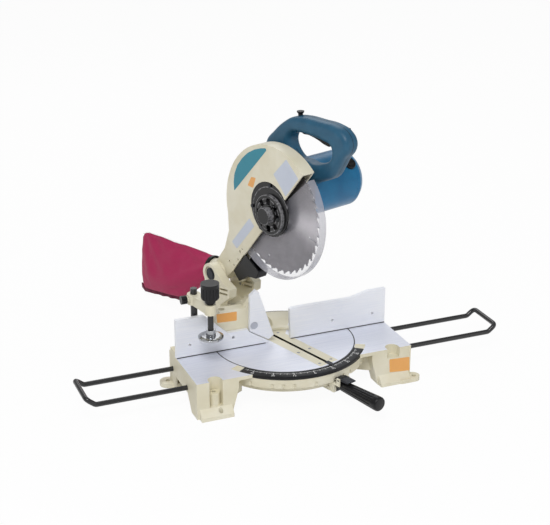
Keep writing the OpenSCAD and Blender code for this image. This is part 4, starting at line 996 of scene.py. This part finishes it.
band_profile = [(36, 22.6), (36.6, 23.8), (41, 24.4), (45.4, 23.8), (46, 22.6), (46, 20.5), (36, 20.5),
                (36, 22.6)]
spun("bag_band", band_profile, on_nozzle(0, 0, 0), BAG_ALONG, SPINDLE_AXIS, 48, black_plastic, "head",
     "black_plastic")
STITCHES, STITCH_FROM, STITCH_SPAN, STITCH_LENGTH = 70, 0.1, 0.88, 0.006
across, lift = SPINDLE_AXIS * 0.0005, BAG_UP * 0.0006
stitches = []
for turn in (math.radians(83), math.radians(97)):
    for i in range(STITCHES):
        u = STITCH_FROM + STITCH_SPAN * i / STITCHES
        start, end = bag_point(u, turn) + lift, bag_point(u + STITCH_LENGTH, turn) + lift
        stitches.append(([start - across, start + across, end + across, end - across], [(0, 1, 2, 3)]))
new_piece("bag_stitches", *merged(stitches), hem_cloth, "head", "bag_cloth")
print("hem of", HEM_STEPS, "steps, band and", len(stitches), "stitches")

# %% [markdown]
# ## Stickers
# The blank stickers are thin solids laid on the face that carries them: a teal segment and a pale plate on the
# case, a lavender strip, and three orange ones. Nothing is printed on them.

# %% Blank stickers
STICKER_SUNK = 0.1


def sticker(name, outline, outward, material, body, slot, thick=0.35):
    """A thin plate with its outline on the face and its top a little proud of it."""
    outward = Vector(outward).normalized()
    rows = [[p + outward * rise * MM for p in outline] for rise in (-STICKER_SUNK, thick)]
    return face_out(new_piece(name, *skin(rows), material, body, slot))


def softened_corners(points, radius, steps=4):
    """Rounds the corners of a closed flat outline."""
    result = []
    for k, corner in enumerate(points):
        before, after = points[k - 1], points[(k + 1) % len(points)]
        back, on = before - corner, after - corner
        start = corner + back.normalized() * min(radius, back.length * 0.45)
        end = corner + on.normalized() * min(radius, on.length * 0.45)
        result += bend(start, corner, end, steps)
    return result


CASE_FACE = -17
TEAL_ARC = [(-67.5, 99), (-55, 113), (-39.8, 124), (-18, 131.5), (7.7, 133.5), (32, 131), (55.9, 124),
            (74, 115), (88, 106), (86, 101.5)]
on_case = {
    "teal_segment": (TEAL_ARC, teal_vinyl),
    "pale_plate": ([(126, 55), (129, 7), (69, 2), (70, 55)], pale_vinyl),
    "small_orange": ([(3.9, 89.5), (14.6, 79.8), (-8.5, 69.9), (-19.7, 83.3)], orange_vinyl),
    "pale_strip": ([(-67.5, 30.2), (-66.2, 9.6), (-155.5, 4.9), (-158.4, 24.5)], pale_vinyl),
}
for name, (points, material) in on_case.items():
    outline = softened_corners([on_head(CASE_FACE, *p) for p in points], 2.5 * MM)
    sticker(name, outline, -SPINDLE_AXIS, material, "head", "blue_plastic")
TOWER_FACE, LEG_FACE = 9.8, -125
tower = [(-146, 159.5), (-101, 158.2), (-101.5, 138), (-144.5, 140)]
leg = [(188, 55), (235, 52.5), (236.3, 20.5), (189.5, 25)]
for name, points, face in (("tower_orange", tower, TOWER_FACE), ("leg_orange", leg, LEG_FACE)):
    outline = softened_corners([on_stand(x, face, z) for x, z in points], 2 * MM)
    sticker(name, outline, (0, -1, 0), orange_vinyl, "stand", "cast_cream")
print("stickers", len(on_case) + 2)

# %% [markdown]
# ## Mitre scale
# The scale is a black arc with a mark for each degree, longer ones every five and fifteen, and a number at the
# common angles. The marks are flat white bars a tenth of a millimetre proud, like screen-printed ink.

# %% Marks and numbers of the mitre scale
SCALE_TOP, SCALE_IN, SCALE_REACH, INK = 78.4, 153.2, 54, 0.12
BAND = [(152.3, 77.05), (152.3, 79.05), (150.6, 79.05), (150.6, 79.3), (152.6, 79.3), (153.4, 78.4),
        (169.6, 78.3), (172.3, 77.3), (173.0, 75.5), (173.0, 72.4), (172.2, 71.9), (172.15, 77.05)]
BAND_STEPS = 96
band_rows = []
for i in range(BAND_STEPS + 1):
    turn = math.radians(-SCALE_REACH + 2 * SCALE_REACH * i / BAND_STEPS)
    band_rows.append([on_stand(r * math.sin(turn), -r * math.cos(turn), z) for r, z in BAND])
band = smooth(new_piece("scale_band", *skin(band_rows), black_plastic, "stand", slot_of["mitre_scale"]))
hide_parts("mitre_scale")


def scale_point(angle, radius, across=0.0):
    turn = math.radians(angle)
    x = radius * math.sin(turn) + across * math.cos(turn)
    y = -radius * math.cos(turn) + across * math.sin(turn)
    return on_stand(x, y, SCALE_TOP + INK)


MARK_IN, MARK_REACH = SCALE_IN + 1, 52
MARK_SIZES = ((15, 8.0, 0.75), (5, 5.5, 0.5), (1, 3.5, 0.32))
marks = []
for degree in range(-MARK_REACH, MARK_REACH + 1):
    length, half = next(size for every, *size in MARK_SIZES if degree % every == 0)
    ends = ((0, -half), (0, half), (length, half), (length, -half))
    marks.append(([scale_point(degree, MARK_IN + out, across) for out, across in ends], [(3, 2, 1, 0)]))
new_piece("scale_marks", *merged(marks), white_paint, "stand", "black_plastic")
NUMBER_AT, NUMBER_SIZE = 168.4, 8.5
for degree in (-45, -30, -15, 0, 15, 30, 45):
    text = bpy.data.curves.new("number", "FONT")
    mesh = drawn("number", given(text, body=str(abs(degree)), size=NUMBER_SIZE * MM, align_x="CENTER"))
    turn = Matrix.Rotation(math.radians(degree), 4, "Z")
    mesh.transform(Matrix.Translation(scale_point(degree, NUMBER_AT)) @ turn)
    name = "number_" + ("left" if degree < 0 else "right") + str(abs(degree))
    riding(linked(name, dressed(mesh, white_paint)), "stand")
# A black ring down in the gap between the disc and the base is a painted shadow of that gap.
gap_shade_profile = [(78.6, 148.4), (79.15, 148.7), (79.15, 150.9), (78.6, 151.2), (74, 151.0), (74, 148.6),
                (78.6, 148.4)]
spun("seat_gap_shade", gap_shade_profile, on_stand(0, 0, 0), Vector((0, 0, 1)), Vector((1, 0, 0)), 160, black_plastic,
     "stand", "black_plastic")
print("marks", len(marks))

# %% [markdown]
# ## Foot of the fence
# The fence stands a hair above the turning disc, and a dark line of shadow shows along its foot. Two thin
# dark strips on the fence's face are a painted shadow of that gap; they hang clear of the disc, so the table
# turns under them.

# %% Painted shadow along the fence's foot
GAP_SHADE_LOW, GAP_SHADE_HIGH, GAP_SHADE_PROUD = TABLE_TOP + 0.15, TABLE_TOP + 1.7, 0.5
for name, start, end in (("left", -237.5, -41), ("right", 16.5, 237.5)):
    corners = ((start, GAP_SHADE_LOW), (end, GAP_SHADE_LOW), (end, GAP_SHADE_HIGH), (start, GAP_SHADE_HIGH))
    strip = [on_stand(x, -0.02, z) for x, z in corners]
    # Each strip is a painted shadow of the gap under the fence.
    sticker("fence_gap_shade_" + name, strip, (0, -1, 0), black_plastic, "stand", slot_of["guide_fence"],
            GAP_SHADE_PROUD)
print("fence gap shade at", round(GAP_SHADE_LOW, 2), "mm")

# %% [markdown]
# ## Blade tips
# Each tooth carries a brazed carbide tip, a little wider than the plate, so that the plate never rubs.

# %% Carbide tips
TEETH, TIP_HALF = 40, 1.6
TIP = [(124.3, 0.965), (130.1, 0.985), (130.0, 0.86), (124.6, 0.80)]
tips = []
for tooth in range(TEETH):
    turns = [(radius, -2 * math.pi * (tooth + share) / TEETH) for radius, share in TIP]
    tips.append(skin([[on_head(x, radius * math.cos(turn), radius * math.sin(turn)) for radius, turn in turns]
                      for x in (-TIP_HALF, TIP_HALF)]))
new_piece("blade_tips", *merged(tips), carbide, "blade", "blade_steel")
print("tips", len(tips))

# %% [markdown]
# ## Motor trim
# The two brush holders are closed by slotted screw caps, each sunk in a dark ring. They are turned parts, so
# each is a profile spun about the holder's axis; the slot is a thin bright plate across the cap.

# %% Brush caps
MOTOR_AHEAD, MOTOR_ABOVE, MOTOR_RADIUS = 32.58, 25.09, 60
RING = [(-4, 13.5), (3, 13.5), (4, 12.6), (4, 10.4), (2.4, 10.0), (-4, 10.0), (-4, 13.5)]
CAP = [(-2, 9.8), (2.2, 9.8), (3.0, 8.8), (3.2, 0.05)]
CAP_SLOT = ((-7, -1), (7, -1), (7, 1), (-7, 1))
brush_low, brush_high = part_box("brush_caps")
BRUSH_X = ((brush_low + brush_high) / 2 - SPINDLE).dot(SPINDLE_AXIS) / MM
for name, axis in (("front", HEAD_AHEAD), ("rear", -HEAD_AHEAD)):
    at = on_head(BRUSH_X, MOTOR_AHEAD, MOTOR_ABOVE) + axis * MOTOR_RADIUS * MM
    spun("brush_ring_" + name, RING, at, axis, SPINDLE_AXIS, 40, black_plastic, "head", "black_plastic")
    spun("brush_cap_" + name, CAP, at, axis, SPINDLE_AXIS, 36, dark_casting, "head", "black_plastic")
    top, across = at + axis * CAP[-1][0] * MM, axis.cross(SPINDLE_AXIS)
    slot = [top + (SPINDLE_AXIS * a + across * b) * MM for a, b in CAP_SLOT]
    sticker("brush_slot_" + name, slot, axis, steel, "head", "black_plastic", 0.15)
print("brush caps at x", round(BRUSH_X, 1))

# %% [markdown]
# ## Light and floor
# Plain soft studio light: a white world, one large key from the upper left in front, and two weak fills. The
# floor shows white to the camera and keeps a soft shadow.

# %% Floor, world and lamps
floor_finish = Finish("floor_paper")
ray = [floor_finish.add("ShaderNodeLightPath", out=name)
       for name in ("Is Camera Ray", "Is Glossy Ray", "Is Transmission Ray")]
floor_finish.set(Base_Color=(0.93, 0.93, 0.93, 1.0), Roughness=0.9)
glow = floor_finish.add("ShaderNodeEmission", None, {"Color": (1, 1, 1, 1), "Strength": 1.0})
paper = Wire(floor_finish, floor_finish.shader.outputs[0])
lit = floor_finish.add("ShaderNodeMixShader", None, {0: (ray[0] + ray[1] + ray[2]) * 0.95, 1: paper, 2: glow})
floor_finish.feed(floor_finish.tree.nodes["Material Output"].inputs["Surface"], lit)
FLOOR_HALF = 12.0
corners = [(x * FLOOR_HALF, y * FLOOR_HALF, 0) for x, y in ((-1, -1), (1, -1), (1, 1), (-1, 1))]
floor_mesh = bpy.data.meshes.new("floor")
floor_mesh.from_pydata(corners, [], [(0, 1, 2, 3)])
floor = linked("floor", dressed(floor_mesh, floor_finish.material))

world = scene.world = bpy.data.worlds.new("studio")
world.use_nodes = True
sky, nodes = world.node_tree, world.node_tree.nodes
path, seen, choose = [nodes.new("ShaderNode" + kind) for kind in ("LightPath", "Background", "MixShader")]
fill = nodes["Background"]
seen.inputs["Color"].default_value = fill.inputs["Color"].default_value = (1, 1, 1, 1)
fill.inputs["Strength"].default_value = 0.42
for start, end in ((path.outputs["Is Camera Ray"], choose.inputs[0]), (fill.outputs[0], choose.inputs[1]),
                   (seen.outputs[0], choose.inputs[2]),
                   (choose.outputs[0], nodes["World Output"].inputs["Surface"])):
    sky.links.new(start, end)


def lamp(name, at, aim, watts, size):
    light = given(bpy.data.lights.new(name, "AREA"), energy=watts, size=size)
    aimed(linked(name, light), at, aim)


lamp("key", (-1.2, -1.9, 2.9), (0, 0, 0.25), 54, 1.3)
lamp("front_fill", (1.8, -2.2, 1.2), (0, 0, 0.2), 9, 1.8)
lamp("rear_fill", (0.6, 2.2, 2.2), (0, 0, 0.3), 16, 1.8)
scene.view_settings.view_transform = "Standard"
